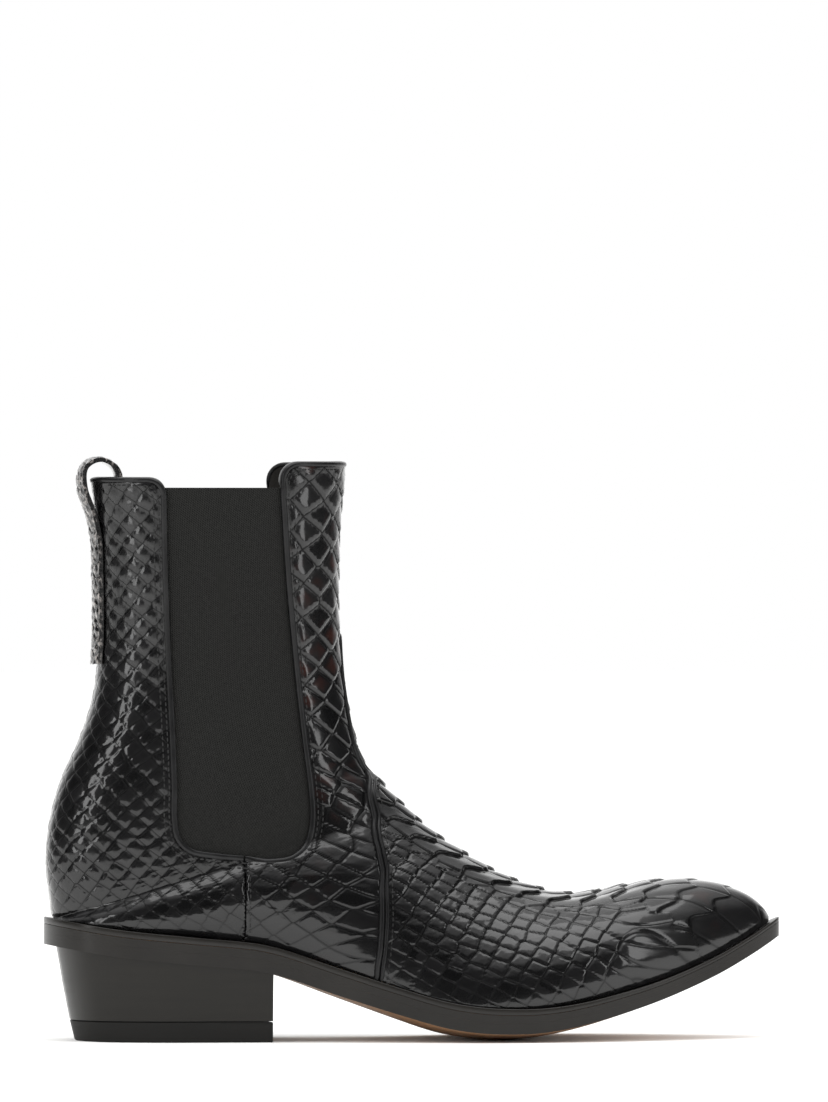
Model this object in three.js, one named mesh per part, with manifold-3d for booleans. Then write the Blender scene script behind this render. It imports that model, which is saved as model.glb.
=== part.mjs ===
// A western ankle boot with elastic side gores, for the right foot, as the separate pieces it is made of.
// Units are millimetres. +X runs from heel to toe, +Y to the inner (medial) side of the foot, +Z up.
// The origin is on the ground, under the middle of the boot's length and width.
//
// The leather pieces are cut flat and then wrapped, as a shoemaker does it. Their pattern has two coordinates:
//   v runs along the boot, from 0 above the topline to 1 at the tip of the toe,
//   u runs round it, from 0 at the front or top ridge to -1 (lateral) or +1 (medial) at the back or the feather edge.
// Past 1, u runs inwards under the foot: that is the lasting margin, which the sole holds.
import * as THREE from "three";
import { ConvexGeometry } from "three/addons/geometries/ConvexGeometry.js";
import { mergeVertices } from "three/addons/utils/BufferGeometryUtils.js";
import Module from "manifold-3d";

const wasm = await Module();
wasm.setup();

// ---------------------------------------------------------------------------------------------- driving sizes
const SOLE_LENGTH = 305; // heel to toe of the sole's edge, seen from above
const SOLE_WIDTH = 100; // across the ball
const SHAFT_HEIGHT = 237; // ground to the front of the topline
const BACK_DROP = 6.5; // how much lower the topline is at the back
const GORE_DROP = 10.5; // how much lower the gore's top edge is than the front of the topline

const CLEARANCE = 0.3; // between faces that touch
const UPPER_LEATHER = 1.4;
const STIFFENER = 1.0; // toe puff, heel counter and elastic gore share this layer
const LINING_LEATHER = 1.0;
const GORE_OVERLAP = 7; // how far the elastic runs on under the leather
const BINDING_WIDTH = 1.6; // the folded edge that shows round the gore and the topline
const LASTING_MARGIN = 11; // leather turned in under the insole board
const PIPING_RADIUS = 1.15; // cord in the vamp seam

const OUTSOLE = 4.6;
const MIDSOLE = 2.8;
const WELT = 2.4;
const WELT_MARGIN = 3.8; // how far the welt stands out past the upper
const WELT_HOLD = 9; // how far it runs in under the upper
const INSOLE_BOARD = 2.4;
const SOCK = 1.2;
const HEEL_PAD = 2.0;
const TREAD_CAMBER = 3.5; // how far the sole's edge lies above its middle at the ball

const TOP_PIECE = 8.4; // the rubber under the heel
const HEEL_LIFT = 5.2;
const HEEL_LIFTS = 3;
const HEEL_LENGTH_TOP = 91; // breast to back, at the sole
const HEEL_SIDE_RAKE = 3.5;

const SHANK_LENGTH = 104;
const SHANK_WIDTH = 14;
const SHANK_THICKNESS = 1.4;
const RIVET_RADIUS = 2.0;
const NAIL_RADIUS = 1.3;
const NAIL_LENGTH = 30;
const TOP_PIECE_NAIL_LENGTH = 11;

const TAB_WIDTH = 20;
const TAB_THICKNESS = 1.8;
const TAB_RISE = 8.5; // how far the loop stands above the topline
const TAB_BOW = 12.5; // how far it stands off the back of the shaft
const TAB_TAIL = 76; // how far it is stitched down the back seam, from the topline

// ---------------------------------------------------------------------------------------------- number helpers
const mix = (a, b, t) => a + (b - a) * t;
const clamp = (x, low, high) => Math.min(high, Math.max(low, x));
const smooth = (x, low, high) => THREE.MathUtils.smoothstep(x, low, high);
const range = (count) => Array.from({ length: count }, (_, i) => i);
const spaced = (low, high, steps) => range(steps + 1).map((i) => mix(low, high, i / steps));
// Steps that crowd towards both ends, for a shape that is round at both ends.
const eased = (low, high, steps) =>
  range(steps + 1).map((i) => mix(low, high, (1 - Math.cos((Math.PI * i) / steps)) / 2));

function bisect(low, high, isBelow) {
  for (let i = 0; i < 40; i++) {
    const middle = (low + high) / 2;
    if (isBelow(middle)) low = middle;
    else high = middle;
  }
  return low;
}

// A smooth function through [x, y] points.
function through(points) {
  const slope = points.map((_, i) => {
    const [a, b] = [points[Math.max(i - 1, 0)], points[Math.min(i + 1, points.length - 1)]];
    return (b[1] - a[1]) / (b[0] - a[0]);
  });
  return (x) => {
    const at = clamp(x, points[0][0], points.at(-1)[0]);
    const i = clamp(points.findIndex((p) => p[0] >= at) - 1, 0, points.length - 2);
    const [[x0, y0], [x1, y1]] = [points[i], points[i + 1]];
    const [h, t] = [x1 - x0, (at - x0) / (x1 - x0)];
    const rise = (3 - 2 * t) * t * t;
    return mix(y0, y1, rise) + h * t * (1 - t) * ((1 - t) * slope[i] - t * slope[i + 1]);
  };
}

// ---------------------------------------------------------------------------------------------- the sole's plan
const HALF = SOLE_LENGTH / 2;
const HEEL_AXIS = 2; // the heel's middle lies this far to the medial side
const TOE_AXIS = 6; // and the toe's tip this far
const axisY = (x) => mix(HEEL_AXIS, TOE_AXIS, smooth(x, -0.1 * SOLE_LENGTH, HALF));

// The sole's edge from above, from the back of the heel along the lateral side to the toe and back.
const SOLE_PLAN = [
  [-152.5, 2], [-142.3, -22], [-118, -33], [-80, -34.8], [-45, -36.2], [-10, -42.8], [28, -50],
  [62, -46.6], [95, -34.6], [125, -19], [144, -5.6], [152.5, 6], [145, 18], [122, 30],
  [92, 42.4], [54, 50], [18, 40.4], [-18, 29], [-50, 29.4], [-90, 36], [-118, 36.6], [-142.3, 26],
];
const PLAN_SAMPLES = 360;

function soleEdge() {
  const drawn = new THREE.CatmullRomCurve3(
    SOLE_PLAN.map(([x, y]) => new THREE.Vector3(x, y, 0)),
    true,
  ).getPoints(PLAN_SAMPLES);
  drawn.pop();
  const box = new THREE.Box3().setFromPoints(drawn);
  return drawn.map((p) => [
    mix(-HALF, HALF, (p.x - box.min.x) / (box.max.x - box.min.x)),
    mix(-SOLE_WIDTH / 2, SOLE_WIDTH / 2, (p.y - box.min.y) / (box.max.y - box.min.y)),
  ]);
}
const SOLE_EDGE = soleEdge();

// The sole's edge moved inwards, as {low, high} in x and the y of each side at any x.
const insetPlans = new Map();
function plan(inset) {
  if (insetPlans.has(inset)) return insetPlans.get(inset);
  const n = SOLE_EDGE.length;
  const clear = ([x, y]) => SOLE_EDGE.every(([a, b]) => Math.hypot(x - a, y - b) > inset - 0.05);
  const points = SOLE_EDGE.map(([x, y], i) => {
    const [a, b] = [SOLE_EDGE[(i + n - 1) % n], SOLE_EDGE[(i + 1) % n]];
    const length = Math.hypot(b[0] - a[0], b[1] - a[1]);
    return [x - (inset * (b[1] - a[1])) / length, y + (inset * (b[0] - a[0])) / length];
  }).filter(clear);
  const xs = points.map((p) => p[0]);
  const [low, high] = [Math.min(...xs), Math.max(...xs)];
  const edgeY = (x, side) => {
    let best = axisY(x);
    points.forEach(([x0, y0], i) => {
      const [x1, y1] = points[(i + 1) % points.length];
      if (x0 === x1 || (x - x0) * (x - x1) > 0) return;
      const y = mix(y0, y1, (x - x0) / (x1 - x0));
      if (side * (y - best) > 0) best = y;
    });
    return best;
  };
  insetPlans.set(inset, { low, high, edgeY });
  return insetPlans.get(inset);
}

// ---------------------------------------------------------------------------------------------- the sole's profile
const STACK = OUTSOLE + MIDSOLE + WELT + 2 * CLEARANCE;
const DRAWN_STACK = 10.4; // the stack that the profiles below were drawn round
const lengthwise = (x) => (x * SOLE_LENGTH) / 305;
const drawnX = (x) => (x * 305) / SOLE_LENGTH;

// The upper and every plate of the bottom are divided at these lines, and the profiles are straight between them.
const FEATHER_X = [-148.7, -141, -127, -107, -84, -66, -49, -32, -15, 2, 19, 36, 52, 66, 80, 105, 124, 137, 144.4, 147.9];
const X_LINES = [-HALF, ...FEATHER_X.map(lengthwise), HALF];
function onLines(profile) {
  const heights = X_LINES.map(profile);
  return (x) => {
    const i = clamp(X_LINES.findIndex((line) => line > x) - 1, 0, X_LINES.length - 2);
    return mix(heights[i], heights[i + 1], (x - X_LINES[i]) / (X_LINES[i + 1] - X_LINES[i]));
  };
}

// Height of the sole's lower edge: heel seat, shank, tread and toe spring.
const drawnUnderside = through([
  [-152.5, 39.5], [-125, 34.9], [-95, 31.8], [-70, 29.4], [-58, 26.8], [-34, 18.7], [-10, 11.1],
  [8, 6.0], [22, 3.9], [34.5, 3.4], [47, 3.9], [62, 6.3], [80, 10.9], [100, 17.2], [123, 26.4],
  [140, 35], [152.5, 42],
]);
const camberShare = through([[-70, 0], [-30, 0.35], [10, 0.9], [34, 1], [60, 0.85], [110, 0.3], [150, 0.1]]);
const treadGap = Math.min(
  ...spaced(-HALF, HALF, 400).map((x) => drawnUnderside(drawnX(x)) - TREAD_CAMBER * camberShare(drawnX(x))),
);
const underside = onLines((x) => drawnUnderside(drawnX(x)) - treadGap);
// The stack is thickest under the waist and thins towards the toe.
const stackTaper = through([[-30, 1.08], [34, 1], [72, 0.86], [105, 0.75], [150, 0.74]]);
const taper = onLines((x) => stackTaper(drawnX(x)));

const camberAt = onLines((x) => camberShare(drawnX(x)));

// Height of a level of the sole at (x, y), measured up from the underside, with the tread's camber across.
function soleLevel(x, y, height) {
  const edges = plan(0);
  const [lateral, medial] = [edges.edgeY(x, -1), edges.edgeY(x, 1)];
  const across = clamp((2 * y - lateral - medial) / Math.max(medial - lateral, 1), -1, 1);
  const camber = TREAD_CAMBER * camberAt(x) * (1 - across * across);
  return underside(x) - camber + height;
}
const weltTop = (x) => underside(x) + STACK * taper(x);

// ---------------------------------------------------------------------------------------------- the boot's skin
// Side-view sections fan round the ankle: each runs from the back (or, past the heel, the feather edge under
// the foot) to the front (or the top ridge). bulge is the half-width between them and round how full it is.
const ABOVE_WELT = CLEARANCE;
const HEEL_RIM = 10; // the station whose back end is the feather edge at the back of the heel
const STATIONS = [
  { back: [-134.6, 239], front: [-27.3, 245], bulge: 31.5, round: 0.86 },
  { back: [-131.2, 215], front: [-30.3, 217], bulge: 31, round: 0.86 },
  { back: [-130.1, 190], front: [-31.3, 193], bulge: 30.5, round: 0.86 },
  { back: [-130.1, 163], front: [-31.1, 171], bulge: 29.5, round: 0.86 },
  { back: [-132.4, 141], front: [-29.9, 152], bulge: 29, round: 0.86 },
  { back: [-138.6, 122], front: [-27.3, 136], bulge: 29.5, round: 0.86 },
  { back: [-145.6, 106.5], front: [-24, 122.5], bulge: 30, round: 0.86 },
  { back: [-150.3, 89], front: [-19.8, 112], bulge: 30.5, round: 0.86 },
  { back: [-151.6, 73], front: [-15, 107.2], bulge: 31, round: 0.86 },
  { back: [-150.2, 58], front: [-9.5, 101.3], bulge: 31.5, round: 0.86 },
  { back: [-148.7], front: [-4, 96], bulge: 31.5, round: 0.86 },
  { back: [-141], front: [-0.4, 92.4], bulge: 31, round: 0.87 },
  { back: [-127], front: [3.6, 88.8], bulge: 30, round: 0.88 },
  { back: [-107], front: [8, 85.2], bulge: 29, round: 0.9 },
  { back: [-84], front: [13, 81.6], bulge: 28, round: 0.92 },
  { back: [-66], front: [18, 78.4], bulge: 27.5, round: 0.93 },
  { back: [-49], front: [24, 74.8], bulge: 27, round: 0.94 },
  { back: [-32], front: [31.5, 70.3], bulge: 26.5, round: 0.95 },
  { back: [-15], front: [40, 66.2], bulge: 26, round: 0.96 },
  { back: [2], front: [49.5, 62.7], bulge: 26, round: 0.96 },
  { back: [19], front: [59, 60.3], bulge: 26, round: 0.96 },
  { back: [36], front: [69, 59.7], bulge: 26, round: 0.95 },
  { back: [52], front: [79, 60.9], bulge: 26, round: 0.94 },
  { back: [66], front: [89, 63], bulge: 25, round: 0.93 },
  { back: [80], front: [98, 64.6], bulge: 23.5, round: 0.92 },
  { back: [105], front: [116, 65.3], bulge: 18, round: 0.9 },
  { back: [124], front: [129.5, 62.9], bulge: 12.5, round: 0.9 },
  { back: [137], front: [139.6, 58.6], bulge: 8, round: 0.92 },
  { back: [144.4], front: [145.8, 53.6], bulge: 4.2, round: 0.95 },
  { back: [147.9], front: [148.4, 49.9], bulge: 0.6, round: 1 },
];
const DRAWN_HEIGHT = 237;
const ANKLE = 120; // below this height the shaft's height changes nothing
function placed([x, z]) {
  if (z === undefined) return new THREE.Vector3(lengthwise(x), 0, weltTop(lengthwise(x)) + ABOVE_WELT);
  const lift = STACK - DRAWN_STACK;
  const stretch = (SHAFT_HEIGHT - ANKLE - lift) / (DRAWN_HEIGHT - ANKLE);
  return new THREE.Vector3(lengthwise(x), 0, lift + (z < ANKLE ? z : ANKLE + (z - ANKLE) * stretch));
}
const BACK = new THREE.CatmullRomCurve3(STATIONS.map((s) => placed(s.back)));
const FRONT = new THREE.CatmullRomCurve3(STATIONS.map((s) => placed(s.front)));
const stationCurve = (name) => through(STATIONS.map((s, i) => [i / (STATIONS.length - 1), s[name]]));
const widthScale = SOLE_WIDTH / 100;
const BULGE = stationCurve("bulge");
const ROUND = stationCurve("round");
const station = (i) => i / (STATIONS.length - 1);
const V_RIM = station(HEEL_RIM);
const MARGIN_PER_U = 120; // millimetres of lasting margin per unit of u past 1

// The outer face of the leather at (u, v).
function skin(u, v) {
  const side = u < 0 ? -1 : 1;
  const around = Math.min(Math.abs(u), 1);
  const [back, front] = [BACK.getPoint(v), FRONT.getPoint(v)];
  const rise = (1 + Math.cos(Math.PI * around)) / 2;
  const feather = plan(WELT_MARGIN);
  const foot = v > V_RIM;
  const edgeX = clamp(back.x, feather.low, feather.high);
  const base = foot ? Math.abs(feather.edgeY(edgeX, side) - axisY(edgeX)) : 0;
  const spread = base * Math.sin((Math.PI * around) / 2);
  const full = widthScale * BULGE(v) * Math.sin(Math.PI * around) ** ROUND(v);
  const x = mix(back.x, front.x, rise);
  const point = new THREE.Vector3(x, 0, mix(back.z, front.z, rise));
  point.y = mix(axisY(edgeX), axisY(x) + 1.5 * smooth(v, V_RIM, 1), rise) + side * Math.hypot(spread, full);
  const turnedIn = (Math.abs(u) - 1) * MARGIN_PER_U;
  if (turnedIn <= 0) return point;
  point.addScaledVector(inwards(v, side), turnedIn);
  return point.setZ(weltTop(point.x) + ABOVE_WELT);
}

// The way in from the feather edge, level, square to the edge in plan.
function inwards(v, side) {
  const step = 0.002;
  const [a, b] = [skin(side, Math.max(v - step, V_RIM + 1e-4)), skin(side, Math.min(v + step, 1))];
  return new THREE.Vector3(side * (b.y - a.y), side * (a.x - b.x), 0).normalize();
}

// The way into the leather: square to the skin on the sides, up under the foot, and both at the feather edge.
function intoLeather(u, v) {
  const side = u < 0 ? -1 : 1;
  const under = v > V_RIM - 1e-9;
  const up = new THREE.Vector3(0, 0, 1);
  if (under && Math.abs(u) > 1 + 1e-6) return up;
  if (under && Math.abs(u) > 1 - 1e-6) return up.add(inwards(v, side));
  const [du, dv] = [0.004, 0.002];
  const inner = side * Math.min(Math.abs(u), 1);
  const [u0, u1] = [Math.max(inner - du, -1), Math.min(inner + du, 1)];
  const [v0, v1] = [Math.max(v - dv, 0), Math.abs(v - V_RIM) < dv ? V_RIM : Math.min(v + dv, 1)];
  const alongU = skin(u1, v).sub(skin(u0, v));
  const alongV = skin(inner, v1).sub(skin(inner, v0));
  const normal = alongU.cross(alongV).normalize();
  if (!under) return normal;
  if (Math.abs(inner) > 0.7) normal.setZ(Math.max(normal.z, 0)).normalize();
  // Low on the foot's walls it slides up the wall too, or it would cross what lies in from the feather edge.
  if (Math.abs(inner) > 0.9) {
    const level = new THREE.Vector3(normal.x, normal.y, 0).normalize().add(inwards(v, side)).normalize();
    return level.addScaledVector(up, 0.95);
  }
  const slide = smooth(Math.abs(inner), 0.55, 0.92) * (0.95 - normal.z);
  const upWall = up.addScaledVector(normal, -normal.z);
  return normal.addScaledVector(upWall, Math.max(0, slide / Math.max(upWall.z, 0.3)));
}

// ---------------------------------------------------------------------------------------------- solids
function solid(geometry) {
  const bare = geometry.index ? geometry.toNonIndexed() : geometry.clone();
  for (const name of ["normal", "uv"]) bare.deleteAttribute(name);
  const merged = mergeVertices(bare, 1e-4);
  return new wasm.Manifold(
    new wasm.Mesh({
      numProp: 3,
      vertProperties: new Float32Array(merged.attributes.position.array),
      triVerts: new Uint32Array(merged.index.array),
    }),
  );
}

function geometryOf(manifold, warp = null) {
  const mesh = manifold.getMesh();
  const vertices = new Float32Array(mesh.numVert * 3);
  for (let i = 0; i < mesh.numVert; i++) {
    const p = mesh.vertProperties.subarray(i * mesh.numProp, i * mesh.numProp + 3);
    const moved = warp ? warp(p[0], p[1], p[2]) : new THREE.Vector3(...p);
    vertices.set([moved.x, moved.y, moved.z], i * 3);
  }
  const index = Array.from(mesh.triVerts);
  const geometry = new THREE.BufferGeometry();
  geometry.setAttribute("position", new THREE.BufferAttribute(vertices, 3));
  geometry.setIndex(index);
  if (signedVolume(vertices, index) < 0) geometry.setIndex(index.reverse());
  return geometry;
}

function signedVolume(p, index) {
  let volume = 0;
  for (let i = 0; i < index.length; i += 3) {
    const [a, b, c] = [0, 1, 2].map((k) => new THREE.Vector3().fromArray(p, index[i + k] * 3));
    volume += a.dot(b.cross(c)) / 6;
  }
  return volume;
}

const warped = (manifold, warp) => solid(geometryOf(manifold, warp));

// A slab whose two faces are divided by the same grid and the same diagonals, placed by map(along, across, through).
// Slabs that share a grid lie on one another with an even gap.
function slab(along, across, map) {
  const [m, n] = [along.length, across.length];
  const at = (i, j, face) => (face * m + i) * n + j;
  const placed = [0, 1].flatMap((face) => along.flatMap((a) => across.map((b) => map(a, b, face))));
  const triangles = [];
  const quad = (a, b, c, d) => triangles.push(a, b, c, a, c, d);
  for (const i of range(m - 1)) {
    for (const j of range(n - 1)) {
      quad(at(i, j, 1), at(i + 1, j, 1), at(i + 1, j + 1, 1), at(i, j + 1, 1));
      triangles.push(at(i, j, 0), at(i + 1, j + 1, 0), at(i + 1, j, 0));
      triangles.push(at(i, j, 0), at(i, j + 1, 0), at(i + 1, j + 1, 0));
    }
    quad(at(i, 0, 0), at(i + 1, 0, 0), at(i + 1, 0, 1), at(i, 0, 1));
    quad(at(i, n - 1, 0), at(i, n - 1, 1), at(i + 1, n - 1, 1), at(i + 1, n - 1, 0));
  }
  for (const j of range(n - 1)) {
    quad(at(0, j, 0), at(0, j, 1), at(0, j + 1, 1), at(0, j + 1, 0));
    quad(at(m - 1, j, 0), at(m - 1, j + 1, 0), at(m - 1, j + 1, 1), at(m - 1, j, 1));
  }
  const vertices = new Float32Array(placed.flatMap((p) => [p.x, p.y, p.z]));
  const geometry = new THREE.BufferGeometry();
  geometry.setAttribute("position", new THREE.BufferAttribute(vertices, 3));
  geometry.setIndex(signedVolume(vertices, triangles) > 0 ? triangles : triangles.reverse());
  return solid(geometry);
}

const extruded = (points, depth) =>
  solid(
    new THREE.ExtrudeGeometry(new THREE.Shape(points.map(([x, y]) => new THREE.Vector2(x, y))), {
      depth,
      bevelEnabled: false,
    }),
  );

// A round cord along a curve, closed at both ends.
function cord(line, radius, steps, sides) {
  const tube = new THREE.TubeGeometry(line, steps, radius, sides, false).attributes.position;
  const corner = (i, k) => i * (sides + 1) + (k % sides);
  const triangles = [];
  for (const i of range(steps)) {
    for (const k of range(sides)) {
      const [a, b, c, d] = [corner(i, k), corner(i, k + 1), corner(i + 1, k + 1), corner(i + 1, k)];
      triangles.push(a, b, c, a, c, d);
    }
  }
  for (let k = 1; k < sides - 1; k++) {
    triangles.push(corner(0, 0), corner(0, k + 1), corner(0, k));
    triangles.push(corner(steps, 0), corner(steps, k), corner(steps, k + 1));
  }
  const geometry = new THREE.BufferGeometry();
  geometry.setAttribute("position", tube);
  const outward = signedVolume(tube.array, triangles) > 0 ? triangles : triangles.reverse();
  return solid(geometry.setIndex(outward));
}

function drum(radius, low, high, x, y, sides = 8) {
  const geometry = new THREE.CylinderGeometry(radius, radius, high - low, sides);
  geometry.rotateX(Math.PI / 2).translate(x, y, (low + high) / 2);
  return solid(geometry);
}

// ---------------------------------------------------------------------------------------------- patterns
// The flat pattern is drawn 130 wide per unit of u and 400 long per unit of v, near the leather's own size.
const PATTERN_U = 130;
const PATTERN_V = 400;
const PATTERN_DEPTH = 4;
const MARGIN_U = 1 + LASTING_MARGIN / MARGIN_PER_U;
const HALF_U_LINES = [0.08, 0.22, 0.4, 0.6, 0.78, 0.92, 1, 1.1];
const U_LINES = [...HALF_U_LINES.map((u) => -u).reverse(), 0, ...HALF_U_LINES];
const V_LINES = STATIONS.map((_, i) => station(i));

// The flat sheet is dished and twisted a little, so that cutting it keeps every facet of its grid.
const dish = (x, y) => 0.002 * (x * x + (y - PATTERN_V / 2) ** 2 + x * y);
const SHEET = slab(U_LINES, V_LINES, (u, v, face) => {
  const [x, y] = [u * PATTERN_U, v * PATTERN_V];
  return new THREE.Vector3(x, y, face * PATTERN_DEPTH + dish(x, y));
});

const INTO_NOSE = new THREE.Vector3(-1, 0, 0.3);
// The skin and the way into the leather at (u, v), read off the facets of the grid, so that layers stay parallel.
const GRID = U_LINES.map((u) =>
  V_LINES.map((v) => ({
    point: skin(u, v),
    inward: v === 1 && Math.abs(u) <= 1 ? INTO_NOSE : intoLeather(u, v),
    dish: new THREE.Vector3(0, 0, dish(u * PATTERN_U, v * PATTERN_V)),
  })),
);
function facet(u, v, name) {
  const cell = (lines, at) => clamp(lines.findIndex((line) => line > at) - 1, 0, lines.length - 2);
  const [i, j] = [cell(U_LINES, u), v >= 1 ? V_LINES.length - 2 : cell(V_LINES, v)];
  const a = (u - U_LINES[i]) / (U_LINES[i + 1] - U_LINES[i]);
  const b = (v - V_LINES[j]) / (V_LINES[j + 1] - V_LINES[j]);
  const [low, high] = [GRID[i][j][name], GRID[i + 1][j + 1][name]];
  const elbow = a > b ? GRID[i + 1][j][name] : GRID[i][j + 1][name];
  return low
    .clone()
    .multiplyScalar(1 - Math.max(a, b))
    .addScaledVector(elbow, Math.abs(a - b))
    .addScaledVector(high, Math.min(a, b));
}

// The pattern coordinates of a point of the side view, on one side: from the smooth skin, then set right on its facets.
function onPattern(x, z, side) {
  const past = (v) => {
    const [b, f] = [BACK.getPoint(v), FRONT.getPoint(v)];
    return (f.x - b.x) * (z - b.z) - (f.z - b.z) * (x - b.x);
  };
  let v = bisect(0, 1, (middle) => past(middle) < 0);
  const [b, f] = [BACK.getPoint(v), FRONT.getPoint(v)];
  const rise = ((x - b.x) * (f.x - b.x) + (z - b.z) * (f.z - b.z)) / b.distanceToSquared(f);
  let u = Math.acos(clamp(2 * rise - 1, -1, 1)) / Math.PI;
  const seen = (u1, v1) => facet(side * clamp(u1, 0, 1), clamp(v1, 0, 1), "point");
  for (let i = 0; i < 12; i++) {
    const p = seen(u, v);
    const [du, dv] = [u > 0.5 ? -0.002 : 0.002, v > 0.5 ? -0.001 : 0.001];
    const [pu, pv] = [seen(u + du, v).sub(p), seen(u, v + dv).sub(p)];
    const det = pu.x * pv.z - pu.z * pv.x;
    const [ex, ez] = [x - p.x, z - p.z];
    u = clamp(u + (0.8 * du * (ex * pv.z - ez * pv.x)) / det, 0, 1);
    v = clamp(v + (0.8 * dv * (pu.x * ez - pu.z * ex)) / det, 0, 1);
  }
  return [side * u, v];
}

// Cuts the outline from the flat sheet and wraps it with its outer face at depth under the skin. lap moves what
// lies on the back seam across it, for a half that is then joined to the other.
function cutAndWrap(outline, depth, thickness, lap = 0) {
  const cutter = extruded(
    outline.map(([u, v]) => [u * PATTERN_U, v * PATTERN_V]),
    600,
  ).translate([0, 0, -100]);
  return warped(SHEET.intersect(cutter), (x, y, z) => {
    const [u, v] = [x / PATTERN_U, y / PATTERN_V];
    const under = depth + (thickness * (z - facet(u, v, "dish").z)) / PATTERN_DEPTH;
    const point = facet(u, v, "point").addScaledVector(facet(u, v, "inward"), under);
    if (lap && v < V_RIM + 1e-4 && Math.abs(u) > 1 - 1e-4) point.y -= Math.sign(u) * lap;
    return point;
  });
}

// Depths of the layers under the skin.
const MIDDLE_DEPTH = UPPER_LEATHER + CLEARANCE;
const LINING_DEPTH = MIDDLE_DEPTH + STIFFENER + CLEARANCE;
const INSIDE_DEPTH = LINING_DEPTH + LINING_LEATHER + CLEARANCE;

// ---------------------------------------------------------------------------------------------- seam lines
// Side-view lines are [x, z] as drawn for the sizes above; drawn() fits them to SOLE_LENGTH and SHAFT_HEIGHT.
const drawn = ([x, z]) => {
  const p = placed([x, z]);
  return [p.x, p.z];
};
const FRONT_TOP = SHAFT_HEIGHT;
const BACK_TOP = SHAFT_HEIGHT - BACK_DROP;
const GORE_TOP = SHAFT_HEIGHT - GORE_DROP;
const CORNER = 6.5; // radius of the topline's corners beside the gore

const GORE_BACK_EDGE = [[-104.9, 223], [-104.4, 197], [-103.2, 164], [-101.6, 131], [-100.7, 104], [-100.7, 91]];
const GORE_FOOT = [[-99.2, 83.4], [-94.6, 79], [-84, 77], [-73, 76], [-61, 75.2], [-53.6, 76.6], [-47.8, 81.6]];
const GORE_FRONT_EDGE = [[-45.4, 90], [-45.7, 104], [-48, 123], [-51.7, 156], [-54.9, 188], [-57.3, 223]];
const seamX = lengthwise(-73); // the quarter seam, below the gore
const BACK_EDGE_X = drawn(GORE_BACK_EDGE[0])[0];
const FRONT_EDGE_X = drawn(GORE_FRONT_EDGE.at(-1))[0];

// A quarter circle of the topline's corner, from the gore's edge up to the topline.
const corner = (x, top, way, radius) =>
  spaced(0, Math.PI / 2, 4).map((a) => [x + way * radius * (1 - Math.cos(a)), top - radius * (1 - Math.sin(a))]);

// The gore's opening, from the back of the topline down, round the foot and up to the front, moved out by grow.
function openingEdge(grow) {
  const line = [...GORE_BACK_EDGE, ...GORE_FOOT, ...GORE_FRONT_EDGE].map(drawn);
  return line.map(([x, z], i) => {
    const [a, b] = [line[Math.max(i - 1, 0)], line[Math.min(i + 1, line.length - 1)]];
    const length = Math.hypot(b[0] - a[0], b[1] - a[1]);
    return [x + (grow * (b[1] - a[1])) / length, z - (grow * (b[0] - a[0])) / length];
  });
}

// The part of that edge behind x, or in front of it, from x to the topline.
function openingHalf(grow, x, behind) {
  const line = behind ? openingEdge(grow).reverse() : openingEdge(grow);
  const past = line.findIndex((p) => (behind ? p[0] < x : p[0] > x));
  const [a, b] = [line[past - 1], line[past]];
  return [[x, mix(a[1], b[1], (x - a[0]) / (b[0] - a[0]))], ...line.slice(past)];
}

const mapped = (points, side = -1) => points.map(([x, z]) => onPattern(x, z, side));
const mirrored = (pattern) => pattern.map(([u, v]) => [-u, v]).reverse();
// v of the feather edge at x, on the facets.
function featherV(x) {
  const i = FEATHER_X.findIndex((line) => lengthwise(line) >= x);
  const [a, b] = [FEATHER_X[i - 1], FEATHER_X[i]].map(lengthwise);
  return station(HEEL_RIM + i - 1 + (x - a) / (b - a));
}
const onRidge = (z) => bisect(0, V_RIM, (v) => FRONT.getPoint(v).z > z);
const onBack = (z) => bisect(0, V_RIM, (v) => BACK.getPoint(v).z > z);
const uAtHalfWidth = (half, v) => bisect(0, 0.5, (u) => skin(u, v).y - skin(0, v).y < half);

// Outlines of the shaft's panels on the lateral side. Their free edge lies grow outside the gore's opening, and
// they end at seam, an x, below it.
function backEdgeLine(grow, seam, drop) {
  return [
    ...openingHalf(grow, seam, true),
    ...corner(BACK_EDGE_X - grow, BACK_TOP - drop, -1, CORNER),
    [lengthwise(-120), BACK_TOP - drop],
    [lengthwise(-127), BACK_TOP - drop],
  ];
}
function frontEdgeLine(grow, seam, drop) {
  return [
    ...openingHalf(grow, seam, false),
    ...corner(FRONT_EDGE_X + grow, FRONT_TOP - drop, 1, CORNER),
    [lengthwise(-42), FRONT_TOP - drop],
    [lengthwise(-34), FRONT_TOP - drop],
  ];
}
// The quarter seam, upright below the gore, from the feather edge.
const seamLine = (x) => {
  const foot = weltTop(x) + ABOVE_WELT;
  return spaced(foot, drawn([0, 74])[1], 6).slice(1, -1).map((z) => [x, z]);
};
const backOutline = (grow, seam, drop) => [
  [-1, V_RIM],
  [-MARGIN_U, V_RIM],
  [-MARGIN_U, featherV(seam)],
  [-1, featherV(seam)],
  ...mapped([...seamLine(seam), ...backEdgeLine(grow, seam, drop)]),
  [-1, onBack(BACK_TOP - drop)],
];
function frontOutline(grow, seam, drop, vampLine) {
  const half = [
    [-MARGIN_U, featherV(seam)],
    [-1, featherV(seam)],
    ...mapped([...seamLine(seam), ...frontEdgeLine(grow, seam, drop)]),
    [0, onRidge(FRONT_TOP - drop)],
  ];
  return [...half, ...mirrored(half).slice(1), ...mirrored(vampLine), ...vampLine.slice(1)];
}

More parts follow.
